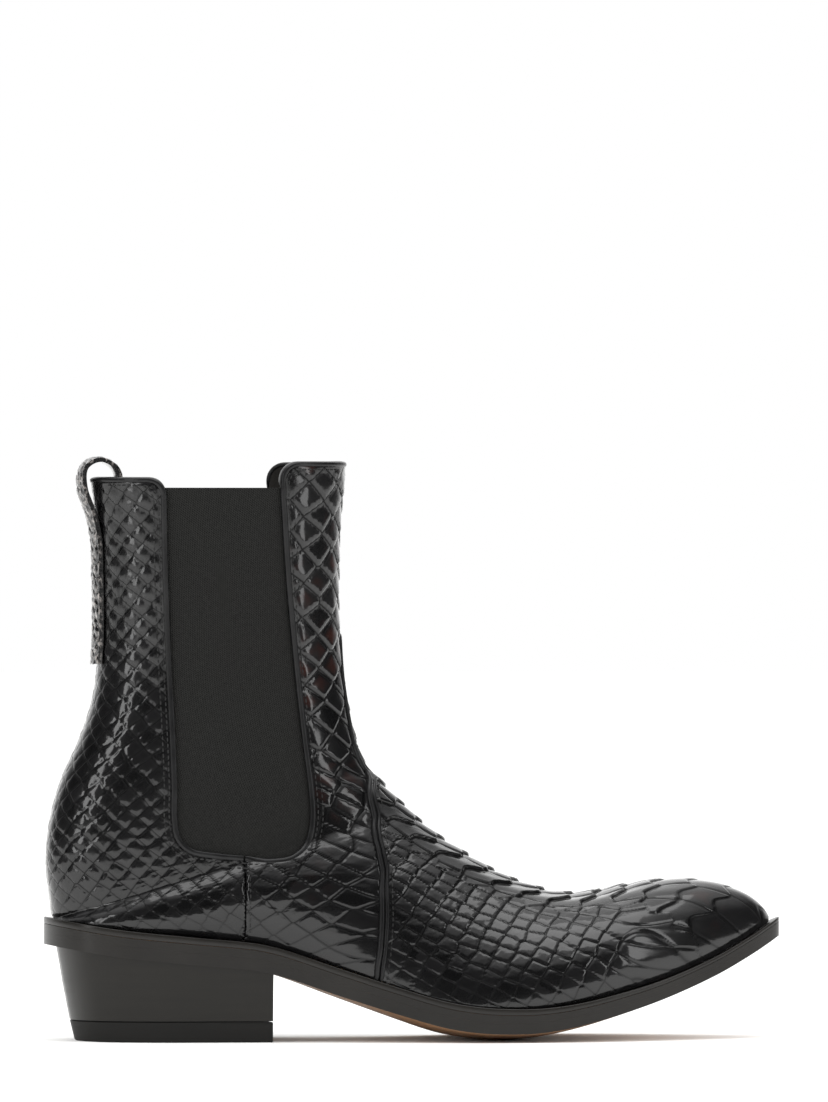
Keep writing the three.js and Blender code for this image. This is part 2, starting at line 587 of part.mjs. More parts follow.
// The vamp seam on the lateral side, from the tip of the tongue down to the feather edge and under.
const TONGUE_TIP = 166;
const TONGUE = [[1.7, 165], [3.4, 162], [4.8, 156], [6.2, 146], [7.6, 134], [9.2, 122]]; // half-width, height
const VAMP_SEAM = [[-20.4, 110], [-19.9, 101], [-18.4, 90], [-17.2, 77], [-16.8, 58], [-17.6, 41], [-19.2, 28]];
function vampSeam(shift) {
  const tongue = TONGUE.map(([half, z]) => {
    const v = onRidge(drawn([0, z])[1]);
    return [-uAtHalfWidth(Math.max(half - shift, 0.3), v), v];
  });
  const side = mapped(VAMP_SEAM.map(drawn).map(([x, z]) => [x + shift, z]));
  const foot = featherV(lengthwise(-19.6) + shift);
  return [[0, onRidge(drawn([0, TONGUE_TIP])[1] - shift)], ...tongue, ...side, [-1, foot], [-MARGIN_U, foot]];
}

// The margin under the toe gets narrower, as the sole does.
const marginAt = (points) => points.map(([u, x]) => [u, featherV(lengthwise(x))]);
const TOE_MARGIN = marginAt([[-MARGIN_U, 112], [-1.04, 133], [-1.005, 145]]);
const INNER_TOE_MARGIN = marginAt([[-MARGIN_U, 108], [-1.04, 124], [-1, 136]]); // inside, which ends sooner
function vampOutline(shift, toe) {
  const half = [...vampSeam(shift), ...toe];
  return [...half, ...mirrored(half).slice(0, -1)];
}

// ---------------------------------------------------------------------------------------------- the pieces
const root = new THREE.Group();
const material = (color, roughness, metalness = 0) =>
  new THREE.MeshStandardMaterial({ color: new THREE.Color(color), roughness, metalness });
const SNAKE = material("#17151a", 0.22);
const GLOSS = material("#0d0d10", 0.2);
const ELASTIC = material("#17181b", 0.85);
const LINING = material("#1c1a18", 0.5);
const BOARD = material("#a5835b", 0.8);
const CORK = material("#8a6a42", 0.9);
const EDGE = material("#141214", 0.35);
const STACKED = material("#1d1815", 0.4);
const RUBBER = material("#101011", 0.6);
const STEEL = material("#8d9094", 0.35, 1);

function add(name, manifold, finish) {
  const mesh = new THREE.Mesh(geometryOf(manifold.simplify(0.02)), finish);
  mesh.name = name;
  root.add(mesh);
}
const biggest = (manifold) => manifold.decompose().sort((a, b) => b.volume() - a.volume())[0];
const block = (low, high) => {
  const size = high.map((h, i) => h - low[i]);
  return solid(new THREE.BoxGeometry(...size).translate(...high.map((h, i) => (h + low[i]) / 2)));
};
const sideOf = (outline, side) => (side < 0 ? outline : mirrored(outline));

const HALF_SEAM = CLEARANCE / 2;
const QUARTER_GAP = 0.3; // half the quarter seam's gap
const FREE_EDGE = BINDING_WIDTH + CLEARANCE + 0.05;
const backSeam = block([-HALF, HEEL_AXIS - HALF_SEAM, 0], [lengthwise(-100), HEEL_AXIS + HALF_SEAM, 400]);

// The piped cord in the vamp seam, from one feather edge over the tongue's tip to the other.
function piping(radius) {
  const half = vampSeam(0).slice(0, -2);
  const foot = featherV(lengthwise(-19.6));
  const last = half.at(-1);
  const end = [-0.94, mix(last[1], foot, (last[0] + 0.94) / (last[0] + 1))];
  const seam = [...mirrored([...half, end]), ...half.slice(1), end];
  const along = seam.map(([u, v]) => skin(u, v).addScaledVector(intoLeather(u, v), UPPER_LEATHER - PIPING_RADIUS));
  return cord(new THREE.CatmullRomCurve3(along), radius, 56, 6);
}
add("vamp_piping", piping(PIPING_RADIUS), GLOSS);
const pipingGroove = piping(PIPING_RADIUS + CLEARANCE);

// Outer leather: the vamp with its tongue, the front panel on both sides, and the two back quarters.
// The vamp is pleated into a solid nose at the tip of the toe.
const nosePoints = [featherV(lengthwise(142)), ...V_LINES.slice(-2)].flatMap((v) => {
  return U_LINES.slice(1, -1).map((u) => facet(u, v, "point").addScaledVector(facet(u, v, "inward"), 0.1));
});
const nose = solid(new ConvexGeometry(nosePoints));
const vampCut = cutAndWrap(vampOutline(HALF_SEAM, TOE_MARGIN), 0, UPPER_LEATHER).add(nose);
add("vamp", biggest(vampCut.subtract(pipingGroove)), SNAKE);
const frontPattern = frontOutline(FREE_EDGE, seamX + QUARTER_GAP, FREE_EDGE, vampSeam(-HALF_SEAM));
add("front_panel", biggest(cutAndWrap(frontPattern, 0, UPPER_LEATHER).subtract(pipingGroove)), SNAKE);
for (const [name, side] of [["lateral", -1], ["medial", 1]]) {
  const quarter = sideOf(backOutline(FREE_EDGE, seamX - QUARTER_GAP, FREE_EDGE), side);
  add(`back_quarter_${name}`, biggest(cutAndWrap(quarter, 0, UPPER_LEATHER).subtract(backSeam)), SNAKE);
}

// The folded binding along the free edges. Over the topline it goes on across the lining's edge.
const BINDING_PROUD = 0.3;
function bindingStrip(line, closing) {
  const outer = mapped(line(HALF_SEAM, 0));
  const inner = mapped(line(BINDING_WIDTH, BINDING_WIDTH)).reverse();
  return [...outer, ...closing(0), ...closing(BINDING_WIDTH).reverse(), ...inner];
}
const aboveGore = block([-HALF, -SOLE_WIDTH, GORE_TOP + 2 * CLEARANCE], [HALF, SOLE_WIDTH, SHAFT_HEIGHT + 50]);
function binding(outline, lap = 0) {
  const fold = cutAndWrap(outline, -BINDING_PROUD, BINDING_PROUD + UPPER_LEATHER, lap);
  const cap = cutAndWrap(outline, UPPER_LEATHER - 0.2, LINING_DEPTH + LINING_LEATHER - UPPER_LEATHER + 0.2, lap);
  return fold.add(cap.intersect(aboveGore));
}
{
  const line = (grow, drop) => frontEdgeLine(grow, seamX + QUARTER_GAP, drop);
  const strip = [...mapped(line(HALF_SEAM, 0)), [0, onRidge(FRONT_TOP)]];
  const inner = [...mapped(line(BINDING_WIDTH, BINDING_WIDTH)), [0, onRidge(FRONT_TOP - BINDING_WIDTH)]];
  const ring = [...strip, ...mirrored(strip).slice(1), ...mirrored(inner).reverse(), ...inner.slice(0, -1).reverse()];
  add("front_edge_binding", binding(ring), GLOSS);
}
{
  const line = (grow, drop) => backEdgeLine(grow, seamX - QUARTER_GAP, drop);
  const outline = bindingStrip(line, (drop) => [[-1, onBack(BACK_TOP - drop)]]);
  const halves = [-1, 1].map((side) => binding(sideOf(outline, side), 0.03));
  add("back_edge_binding", halves[0].add(halves[1]), GLOSS);
}

// Elastic gores, between the outer leather and the lining.
for (const [name, side] of [["lateral", -1], ["medial", 1]]) {
  const edge = openingEdge(GORE_OVERLAP);
  const at = (line) => mix(line[0][0], line[1][0], (GORE_TOP - line[0][1]) / (line[1][1] - line[0][1]));
  const [backX, frontX] = [at(edge), at([...edge].reverse())];
  const top = spaced(frontX, backX, 4).map((x) => [x, GORE_TOP]);
  const outline = mapped([...edge.filter((p) => p[1] < GORE_TOP - 1), ...top]);
  add(`gore_${name}`, cutAndWrap(sideOf(outline, side), MIDDLE_DEPTH, STIFFENER), ELASTIC);
}

// Linings, which follow the outer panels.
add("vamp_lining", cutAndWrap(vampOutline(HALF_SEAM + 0.3, INNER_TOE_MARGIN), LINING_DEPTH, LINING_LEATHER), LINING);
add("front_lining", cutAndWrap(frontPattern, LINING_DEPTH, LINING_LEATHER), LINING);
{
  const outline = backOutline(FREE_EDGE, seamX - QUARTER_GAP, FREE_EDGE);
  const halves = [-1, 1].map((side) => {
    const half = cutAndWrap(sideOf(outline, side), LINING_DEPTH, LINING_LEATHER, 0.03);
    return half.subtract(cutAndWrap(sideOf(outline, side), 0, LINING_DEPTH - 0.05));
  });
  add("back_lining", biggest(halves[0].add(halves[1])), LINING);
}

// Toe puff and heel counter, the stiff pieces between the layers.
{
  const rear = [[89, 62], [93, 52], [97, 42], [101, 33]].map(drawn);
  const half = [
    [0, onPattern(...drawn([88, 63]), -1)[1]],
    ...mapped(rear),
    ...marginAt([[-1, 104], [-1.06, 105], [-1.06, 116], [-1.03, 130], [-1, 139]]),
  ];
  add("toe_puff", cutAndWrap([...half, ...mirrored(half).slice(0, -1)], MIDDLE_DEPTH, STIFFENER), BOARD);
}
{
  const foot = lengthwise(-78);
  const top = [[-80, 54], [-96, 59], [-110, 63], [-119, 74], [-128, 86], [-138, 91]].map(drawn);
  const outline = [
    [-1, onBack(drawn([0, 60])[1])],
    [-0.93, V_RIM],
    [-0.93, featherV(foot)],
    ...mapped(top),
    [-1, onBack(drawn([0, 92])[1])],
  ];
  const halves = [-1, 1].map((side) => cutAndWrap(sideOf(outline, side), MIDDLE_DEPTH, STIFFENER, 0.03));
  add("heel_counter", halves[0].add(halves[1]), BOARD);
}

// The back of the shaft as it is faceted: x at (y, z), y counted from the seam.
function shaftX(y, z) {
  let v = onBack(z);
  let point = facet(1, v, "point");
  for (let i = 0; i < 4; i++) {
    const u = bisect(0.5, 1, (at) => facet(at, v, "point").y - HEEL_AXIS > Math.abs(y));
    point = facet(u, v, "point");
    v = clamp(v + (point.z - z) / (BACK.getPoint(0).z - BACK.getPoint(V_RIM).z) * V_RIM, 0, 1);
  }
  return point.x;
}

// The pull loop: stitched down the back seam, bowed off over the topline and let down inside.
{
  const outside = CLEARANCE + 0.3 + TAB_THICKNESS / 2;
  const inside = INSIDE_DEPTH + TAB_THICKNESS / 2 + 0.2;
  const crest = BACK_TOP + TAB_RISE - TAB_THICKNESS / 2;
  const backX = shaftX(0, BACK_TOP);
  const leg = (z, off) => new THREE.Vector3(shaftX(0, z) + off, 0, z);
  const path = new THREE.CatmullRomCurve3([
    ...spaced(BACK_TOP - TAB_TAIL, BACK_TOP - 27, 4).map((z) => leg(z, -outside)),
    leg(BACK_TOP - 16, -outside - 1.2),
    leg(BACK_TOP - 4, -outside - 3.4),
    new THREE.Vector3(backX - TAB_BOW / 4, 0, BACK_TOP + 4.6),
    new THREE.Vector3(backX + TAB_BOW / 4, 0, crest),
    new THREE.Vector3(backX + TAB_BOW * 0.78, 0, BACK_TOP + 3.4),
    leg(BACK_TOP - 7, inside + 3.4),
    leg(BACK_TOP - 16, inside + 0.6),
    leg(BACK_TOP - 27, inside),
  ]);
  const tab = slab(spaced(0, 1, 30), spaced(-TAB_WIDTH / 2, TAB_WIDTH / 2, 4), (t, y, face) => {
    const point = path.getPointAt(t);
    const along = path.getTangentAt(t);
    const off = (face - 0.5) * TAB_THICKNESS;
    const over = smooth(point.z, BACK_TOP - 12, crest);
    const z = Math.min(point.z, BACK_TOP);
    const inner = t > 0.6 ? 1 + inside / 26 : 1;
    const bend = (shaftX(y * inner, z) - shaftX(0, z)) * (1 - 0.7 * over);
    return new THREE.Vector3(point.x - along.z * off + bend, HEEL_AXIS + y, point.z + along.x * off);
  });
  add("pull_tab", tab, SNAKE);
}

// ---------------------------------------------------------------------------------------------- the bottom
// A plate that follows the sole. Its outline is the sole's, moved in by inset; from and to trim it in x.
// bottom and top give the height of its faces at (x, y).
function plate(inset, bottom, top, { from = -HALF, to = HALF, across = [-1, -0.5, 0, 0.5, 1] } = {}) {
  const outline = plan(inset);
  const [low, high] = [Math.max(outline.low + 0.4, from), Math.min(outline.high - 0.4, to)];
  const rounding = [low + 1.2, low + 5, high - 5, high - 1.2, -98, -58, 94, 115].map((x) => clamp(x, low, high));
  const lines = [...new Set([low, ...X_LINES, ...rounding, high])].filter((x) => x >= low && x <= high);
  lines.sort((a, b) => a - b);
  return slab(lines, across, (x, share, face) => {
    const [lateral, medial] = [outline.edgeY(x, -1), outline.edgeY(x, 1)];
    const y = mix(lateral, medial, (share + 1) / 2);
    return new THREE.Vector3(x, y, (face ? top : bottom)(x, y));
  });
}
const level = (height) => (x, y) => soleLevel(x, y, height * taper(x));
const outsoleTop = level(OUTSOLE);
const midsoleBottom = (x, y) => outsoleTop(x, y) + CLEARANCE;
const midsoleTop = (x, y) => midsoleBottom(x, y) + MIDSOLE * taper(x);
const weltBottom = (x, y) => midsoleTop(x, y) + CLEARANCE;
const insoleUnder = (x) => weltTop(x) + ABOVE_WELT + INSIDE_DEPTH + 0.4;
const insoleOver = (x) => insoleUnder(x) + INSOLE_BOARD;
const sockUnder = (x) => insoleOver(x) + CLEARANCE;
const sockOver = (x) => sockUnder(x) + SOCK;

// Holes for the nails and rivets: each is [x, y, low, high, radius].
const NAILS = [[-128, -15], [-128, 19], [-88, -17], [-88, 21]].map(([x, y]) => {
  const top = midsoleTop(lengthwise(x), y) - 0.6;
  return [lengthwise(x), y, top - NAIL_LENGTH, top, NAIL_RADIUS];
});
const TOP_PIECE_NAILS = [[-124, 2], [-84, -19], [-84, 23]].map(([x, y]) => {
  return [lengthwise(x), y, 1.2, 1.2 + TOP_PIECE_NAIL_LENGTH, NAIL_RADIUS];
});
const SHANK_FRONT = lengthwise(4);
const shankTop = (x) => insoleUnder(x) - CLEARANCE;
const RIVETS = [SHANK_FRONT - 12, SHANK_FRONT - SHANK_LENGTH + 12].map((x) => {
  return [x, HEEL_AXIS + 1, shankTop(x) - SHANK_THICKNESS - 0.8, insoleOver(x) - 0.5, RIVET_RADIUS];
});
const pin = ([x, y, low, high, radius], grow = 0) => drum(radius + grow, low - grow, high + grow, x, y);
const drilled = (manifold, pins) => pins.reduce((rest, one) => rest.subtract(pin(one, CLEARANCE)), manifold);

add("outsole", drilled(plate(0, level(0), outsoleTop), NAILS), EDGE);
add("midsole", drilled(plate(0.3, midsoleBottom, midsoleTop), NAILS), EDGE);
{
  const ring = plate(0.6, weltBottom, (x) => weltTop(x));
  const core = plate(WELT_MARGIN + WELT_HOLD, () => -20, () => 200);
  add("welt", ring.subtract(core), EDGE);
}

// Inside the ring of the welt: cork under the ball, a filler under the shank, and one under the heel seat.
const fill = WELT_MARGIN + LASTING_MARGIN + 3;
const corkTop = (x) => insoleUnder(x) - CLEARANCE;
const fillBottom = (x, y) => midsoleTop(x, y) + CLEARANCE;
add("cork_filler", plate(fill, fillBottom, corkTop, { from: SHANK_FRONT + 1.5, to: 118 }), CORK);
const underShank = (x) => shankTop(x) - SHANK_THICKNESS - 1.2 - CLEARANCE;
const shankBack = SHANK_FRONT - SHANK_LENGTH;
add(
  "shank_filler",
  drilled(plate(fill, fillBottom, underShank, { from: shankBack - 1, to: SHANK_FRONT + 1 }), NAILS),
  CORK,
);
add(
  "heel_seat_filler",
  drilled(plate(fill, fillBottom, corkTop, { from: -HALF, to: shankBack - 1.5 }), NAILS),
  BOARD,
);

// The steel shank, and the insole board it is riveted to.
const shank = slab(spaced(shankBack, SHANK_FRONT, 12), [-1, 0, 1], (x, share, face) => {
  const end = Math.min(x - shankBack, SHANK_FRONT - x);
  const half = (SHANK_WIDTH / 2) * Math.min(1, 0.55 + end / 14);
  const top = shankTop(x) - (share ? 0.35 : 0);
  return new THREE.Vector3(x, HEEL_AXIS + 1 + share * half, top - (face ? 0 : SHANK_THICKNESS));
});
add("shank", drilled(shank, RIVETS), STEEL);
const FLAT = { to: lengthwise(134), across: [-1, 0, 1] };
const INSOLE_INSET = WELT_MARGIN + 8.5;
add("insole_board", drilled(plate(INSOLE_INSET, insoleUnder, insoleOver, FLAT), RIVETS), BOARD);
RIVETS.forEach((rivet, i) => add(`shank_rivet_${["front", "back"][i]}`, pin(rivet), STEEL));
add("sock_liner", plate(INSOLE_INSET + 0.8, sockUnder, sockOver, FLAT), LINING);
const padOver = (x) => sockOver(x) + CLEARANCE + HEEL_PAD * smooth(x, lengthwise(-58), lengthwise(-80)) + 0.6;
add(
  "heel_pad",
  plate(INSOLE_INSET + 3, (x) => sockOver(x) + CLEARANCE, padOver, { to: lengthwise(-60) }),
  LINING,
);

// ---------------------------------------------------------------------------------------------- the heel
const BREAST_X = lengthwise(-153) + HEEL_LENGTH_TOP + 0.5;
const heelBack = through([[0, 12.6], [9, 10.4], [27, 6.8], [40, 3.4]]); // how far its back is in from the sole's
const heelSide = (z) => HEEL_SIDE_RAKE * (1 - clamp(z / 42, 0, 1)) + 0.8;
const BEVEL = [8, 3]; // of the rubber's back edge: length and height

// A layer of the heel between two heights; each point's place in plan depends on its height.
function heelLayer(bottom, top, steps = 11) {
  const outline = plan(0);
  const across = [-1, -0.5, 0, 0.5, 1];
  return slab(eased(outline.low + 0.4, BREAST_X, steps), across, (x, share, face) => {
    const [lateral, medial] = [outline.edgeY(x, -1), outline.edgeY(x, 1)];
    const middle = (lateral + medial) / 2;
    const drawnZ = (face ? top : bottom)(x, middle);
    const in_ = (heelBack(drawnZ) * (BREAST_X - x)) / (BREAST_X - outline.low);
    const narrow = 1 - heelSide(drawnZ) / 35;
    const y = middle + share * ((medial - lateral) / 2) * narrow;
    const breast = -1.6 * (1 - share * share) * smooth(x, BREAST_X - 12, BREAST_X);
    const flatX = x + in_ + breast;
    return new THREE.Vector3(flatX, y, (face ? top : bottom)(flatX, y));
  });
}
const flat = (z) => () => z;
const topPieceFoot = (x) => {
  const past = (x - (-HALF + BEVEL[0] + 2)) / -BEVEL[0];
  return past > 0 ? BEVEL[1] * Math.min(past, 1.25) ** 1.6 : 0;
};
let z = TOP_PIECE + CLEARANCE;
const pins = [...NAILS, ...TOP_PIECE_NAILS];
add("top_piece", drilled(heelLayer(topPieceFoot, flat(TOP_PIECE)), TOP_PIECE_NAILS), RUBBER);
for (const i of range(HEEL_LIFTS)) {
  add(`heel_lift_${i + 1}`, drilled(heelLayer(flat(z), flat(z + HEEL_LIFT - CLEARANCE)), pins), STACKED);
  z += HEEL_LIFT;
}
const wedgeTop = (x, y) => soleLevel(x, y, 0) - CLEARANCE;
add("heel_wedge", drilled(heelLayer(flat(z), wedgeTop), NAILS), STACKED);
NAILS.forEach((nail, i) => add(`heel_nail_${i + 1}`, pin(nail), STEEL));
TOP_PIECE_NAILS.forEach((nail, i) => add(`top_piece_nail_${i + 1}`, pin(nail), STEEL));

export default root;
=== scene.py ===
# %% [markdown]
# # A western ankle boot in scaled leather
# The boot is a right foot's: a vamp, a front panel and two back quarters of reptile-embossed leather, elastic gores in
# the sides, a pull loop, and a stacked heel. The frame holds its sizes. Here each leather panel is cut from a flat
# pattern, wrapped round the last and given its scales, because that is how light falls on the real one.

# %% The frame
import math

import bmesh
import bpy
import numpy as np
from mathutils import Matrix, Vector, kdtree
from mathutils.geometry import delaunay_2d_cdt


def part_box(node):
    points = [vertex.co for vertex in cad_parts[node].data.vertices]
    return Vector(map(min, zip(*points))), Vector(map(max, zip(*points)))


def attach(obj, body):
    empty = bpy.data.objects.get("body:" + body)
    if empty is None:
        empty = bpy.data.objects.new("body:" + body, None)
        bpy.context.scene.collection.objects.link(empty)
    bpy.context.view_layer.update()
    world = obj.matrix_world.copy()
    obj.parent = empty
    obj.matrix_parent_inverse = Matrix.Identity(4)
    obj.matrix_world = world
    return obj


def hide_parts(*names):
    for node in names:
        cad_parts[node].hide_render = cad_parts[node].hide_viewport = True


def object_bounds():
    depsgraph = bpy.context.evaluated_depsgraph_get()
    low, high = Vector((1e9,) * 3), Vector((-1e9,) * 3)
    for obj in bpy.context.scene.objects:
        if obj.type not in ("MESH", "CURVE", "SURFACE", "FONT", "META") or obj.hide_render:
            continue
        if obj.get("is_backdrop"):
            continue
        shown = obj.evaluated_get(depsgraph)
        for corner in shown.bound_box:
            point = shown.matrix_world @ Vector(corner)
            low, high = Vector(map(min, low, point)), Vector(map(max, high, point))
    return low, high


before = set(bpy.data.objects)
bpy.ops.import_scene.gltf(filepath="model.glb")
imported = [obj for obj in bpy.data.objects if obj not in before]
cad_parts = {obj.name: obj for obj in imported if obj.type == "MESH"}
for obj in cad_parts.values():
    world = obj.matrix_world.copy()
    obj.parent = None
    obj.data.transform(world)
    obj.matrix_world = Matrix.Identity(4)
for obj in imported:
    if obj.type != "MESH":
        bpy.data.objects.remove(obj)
cad_low, cad_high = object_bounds()
print("frame:", len(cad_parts), "nodes", [round(h - l, 4) for l, h in zip(cad_low, cad_high)])

# %% [markdown]
# ## Sizes
# Everything here is drawn in millimetres and made in metres, which is what Blender's shaders and lights expect. The
# sole's length comes from the frame; the sole's width and the shaft's height are given here.

# %% Driving sizes
MM = 0.001
sole_low, sole_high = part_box("outsole")
SOLE_LENGTH = (sole_high[0] - sole_low[0]) / MM + 0.8  # the frame's plates stop 0.4 short at each end
SOLE_WIDTH = 100.0
SHAFT_HEIGHT = 237.0
HALF = SOLE_LENGTH / 2
BACK_DROP, GORE_DROP = 6.5, 10.5  # how far the back of the topline and the gore's top lie under its front
CLEARANCE = 0.3
UPPER, STIFFENER, LINING = 1.4, 1.0, 1.0  # leather thicknesses, from the outside in
MIDDLE_DEPTH = UPPER + CLEARANCE
LINING_DEPTH = MIDDLE_DEPTH + STIFFENER + CLEARANCE
INSIDE_DEPTH = LINING_DEPTH + LINING + CLEARANCE
BINDING_WIDTH = 1.6
PIPING_RADIUS = 1.15
OUTSOLE, MIDSOLE, WELT = 4.6, 2.8, 2.4
WELT_MARGIN = 3.8
STACK = OUTSOLE + MIDSOLE + WELT + 2 * CLEARANCE
TREAD_CAMBER = 3.5


# %% Number helpers
def mix(a, b, t):
    return a + (b - a) * t


def smooth(x, low, high):
    t = np.clip((np.asarray(x, float) - low) / (high - low), 0, 1)
    return t * t * (3 - 2 * t)


def through(points):
    """A smooth function through (x, y) points."""
    xs, ys = np.array(points, float).T
    after, before = np.clip(np.arange(len(xs)) + 1, 0, len(xs) - 1), np.clip(np.arange(len(xs)) - 1, 0, None)
    slope = (ys[after] - ys[before]) / (xs[after] - xs[before])

    def at(x):
        x = np.clip(x, xs[0], xs[-1])
        i = np.clip(np.searchsorted(xs, x) - 1, 0, len(xs) - 2)
        h = xs[i + 1] - xs[i]
        t = (x - xs[i]) / h
        bend = h * t * (1 - t) * ((1 - t) * slope[i] - t * slope[i + 1])
        return mix(ys[i], ys[i + 1], (3 - 2 * t) * t * t) + bend

    return at


def spline(points, t, closed=False):
    """Points of a centripetal Catmull-Rom curve at parameters t from 0 to 1."""
    points = np.array(points, float)
    n = len(points)
    place = np.asarray(t, float) * (n if closed else n - 1)
    i = np.floor(place).astype(int)
    i = i % n if closed else np.clip(i, 0, n - 2)
    w = (place - np.floor(place) if closed else place - i)[:, None]
    if closed:
        p0, p1, p2, p3 = (points[(i + k) % n] for k in (-1, 0, 1, 2))
    else:
        ends = np.vstack([2 * points[0] - points[1], points, 2 * points[-1] - points[-2]])
        p0, p1, p2, p3 = (ends[i + k] for k in (0, 1, 2, 3))
    d0, d1, d2 = (np.sqrt(np.linalg.norm(b - a, axis=1))[:, None] for a, b in ((p0, p1), (p1, p2), (p2, p3)))
    m1 = ((p1 - p0) / d0 - (p2 - p0) / (d0 + d1) + (p2 - p1) / d1) * d1
    m2 = ((p2 - p1) / d1 - (p3 - p1) / (d1 + d2) + (p3 - p2) / d2) * d1
    return p1 + w * (m1 + w * (-3 * p1 + 3 * p2 - 2 * m1 - m2 + w * (2 * p1 - 2 * p2 + m1 + m2)))


def walk(points, step):
    """The same line, with a point every step."""
    points = np.array(points, float)
    run = np.concatenate([[0], np.cumsum(np.linalg.norm(np.diff(points, axis=0), axis=1))])
    at = np.linspace(0, run[-1], max(2, int(round(run[-1] / step)) + 1))
    return np.stack([np.interp(at, run, column) for column in points.T], axis=1)


# %% [markdown]
# ## The last
# A shoemaker stretches flat leather over a last. The last is given here by sections that fan round the ankle, from
# level rings at the top of the shaft to upright ones at the toe. Each has an end at the back, or on the sole's edge,
# and one at the front ridge. A point of the skin then has two coordinates: v along the boot and u round it.

# %% The sole's plan
HEEL_AXIS, TOE_AXIS = 2.0, 6.0
SOLE_PLAN = [
    (-152.5, 2), (-142.3, -22), (-118, -33), (-80, -34.8), (-45, -36.2), (-10, -42.8), (28, -50),
    (62, -46.6), (95, -34.6), (125, -19), (144, -5.6), (152.5, 6), (145, 18), (122, 30),
    (92, 42.4), (54, 50), (18, 40.4), (-18, 29), (-50, 29.4), (-90, 36), (-118, 36.6), (-142.3, 26),
]


def axis_y(x):
    return mix(HEEL_AXIS, TOE_AXIS, smooth(x, -0.1 * SOLE_LENGTH, HALF))


plan_line = spline(SOLE_PLAN, np.arange(360) / 360, closed=True)
plan_low, plan_high = plan_line.min(axis=0), plan_line.max(axis=0)
plan_share = (plan_line - plan_low) / (plan_high - plan_low)
SOLE_EDGE = (plan_share - 0.5) * np.array([SOLE_LENGTH, SOLE_WIDTH])


class Plan:
    """The sole's outline moved in by inset: its points, its ends and the y of its sides at any x."""

    def __init__(self, inset):
        ahead = np.roll(SOLE_EDGE, -1, axis=0) - np.roll(SOLE_EDGE, 1, axis=0)
        ahead /= np.linalg.norm(ahead, axis=1)[:, None]
        moved = SOLE_EDGE + inset * np.stack([-ahead[:, 1], ahead[:, 0]], axis=1)
        room = np.linalg.norm(moved[:, None] - SOLE_EDGE[None], axis=2).min(axis=1)
        self.points = moved[room > inset - 0.05]
        back, toe = self.points[:, 0].argmin(), self.points[:, 0].argmax()
        turned = np.roll(self.points, -back, axis=0)
        toe = (toe - back) % len(turned)
        self.sides = {-1: turned[: toe + 1], 1: np.vstack([turned[toe:], turned[:1]])[::-1]}
        self.low, self.high = turned[0, 0], turned[toe, 0]

    def edge(self, x, side):
        lateral, medial = (np.interp(x, *self.sides[s].T) for s in (-1, 1))
        return np.where(np.asarray(side) < 0, lateral, medial)


sole_plan, feather_plan = Plan(0), Plan(WELT_MARGIN)

# %% The sole's profile
DRAWN_STACK, DRAWN_LENGTH = 10.4, 305.0


def lengthwise(x):
    return np.asarray(x, float) * SOLE_LENGTH / DRAWN_LENGTH


drawn_underside = through([
    (-152.5, 39.5), (-125, 34.9), (-95, 31.8), (-70, 29.4), (-58, 26.8), (-34, 18.7), (-10, 11.1),
    (8, 6.0), (22, 3.9), (34.5, 3.4), (47, 3.9), (62, 6.3), (80, 10.9), (100, 17.2), (123, 26.4),
    (140, 35), (152.5, 42),
])
camber_share = through([(-70, 0), (-30, 0.35), (10, 0.9), (34, 1), (60, 0.85), (110, 0.3), (150, 0.1)])
stack_taper = through([(-30, 1.08), (34, 1), (72, 0.86), (105, 0.75), (150, 0.74)])
drawn_x = np.linspace(-DRAWN_LENGTH / 2, DRAWN_LENGTH / 2, 401)
tread_gap = (drawn_underside(drawn_x) - TREAD_CAMBER * camber_share(drawn_x)).min()


def underside(x):
    return drawn_underside(np.asarray(x) * DRAWN_LENGTH / SOLE_LENGTH) - tread_gap


def taper(x):
    return stack_taper(np.asarray(x) * DRAWN_LENGTH / SOLE_LENGTH)


def sole_level(x, y, height):
    """The height of a level of the sole at (x, y), which dips between its edges."""
    lateral, medial = sole_plan.edge(x, -1), sole_plan.edge(x, 1)
    across = np.clip((2 * y - lateral - medial) / np.maximum(medial - lateral, 1), -1, 1)
    camber = TREAD_CAMBER * camber_share(np.asarray(x) * DRAWN_LENGTH / SOLE_LENGTH) * (1 - across**2)
    return underside(x) - camber + height


def welt_top(x):
    return underside(x) + STACK * taper(x)


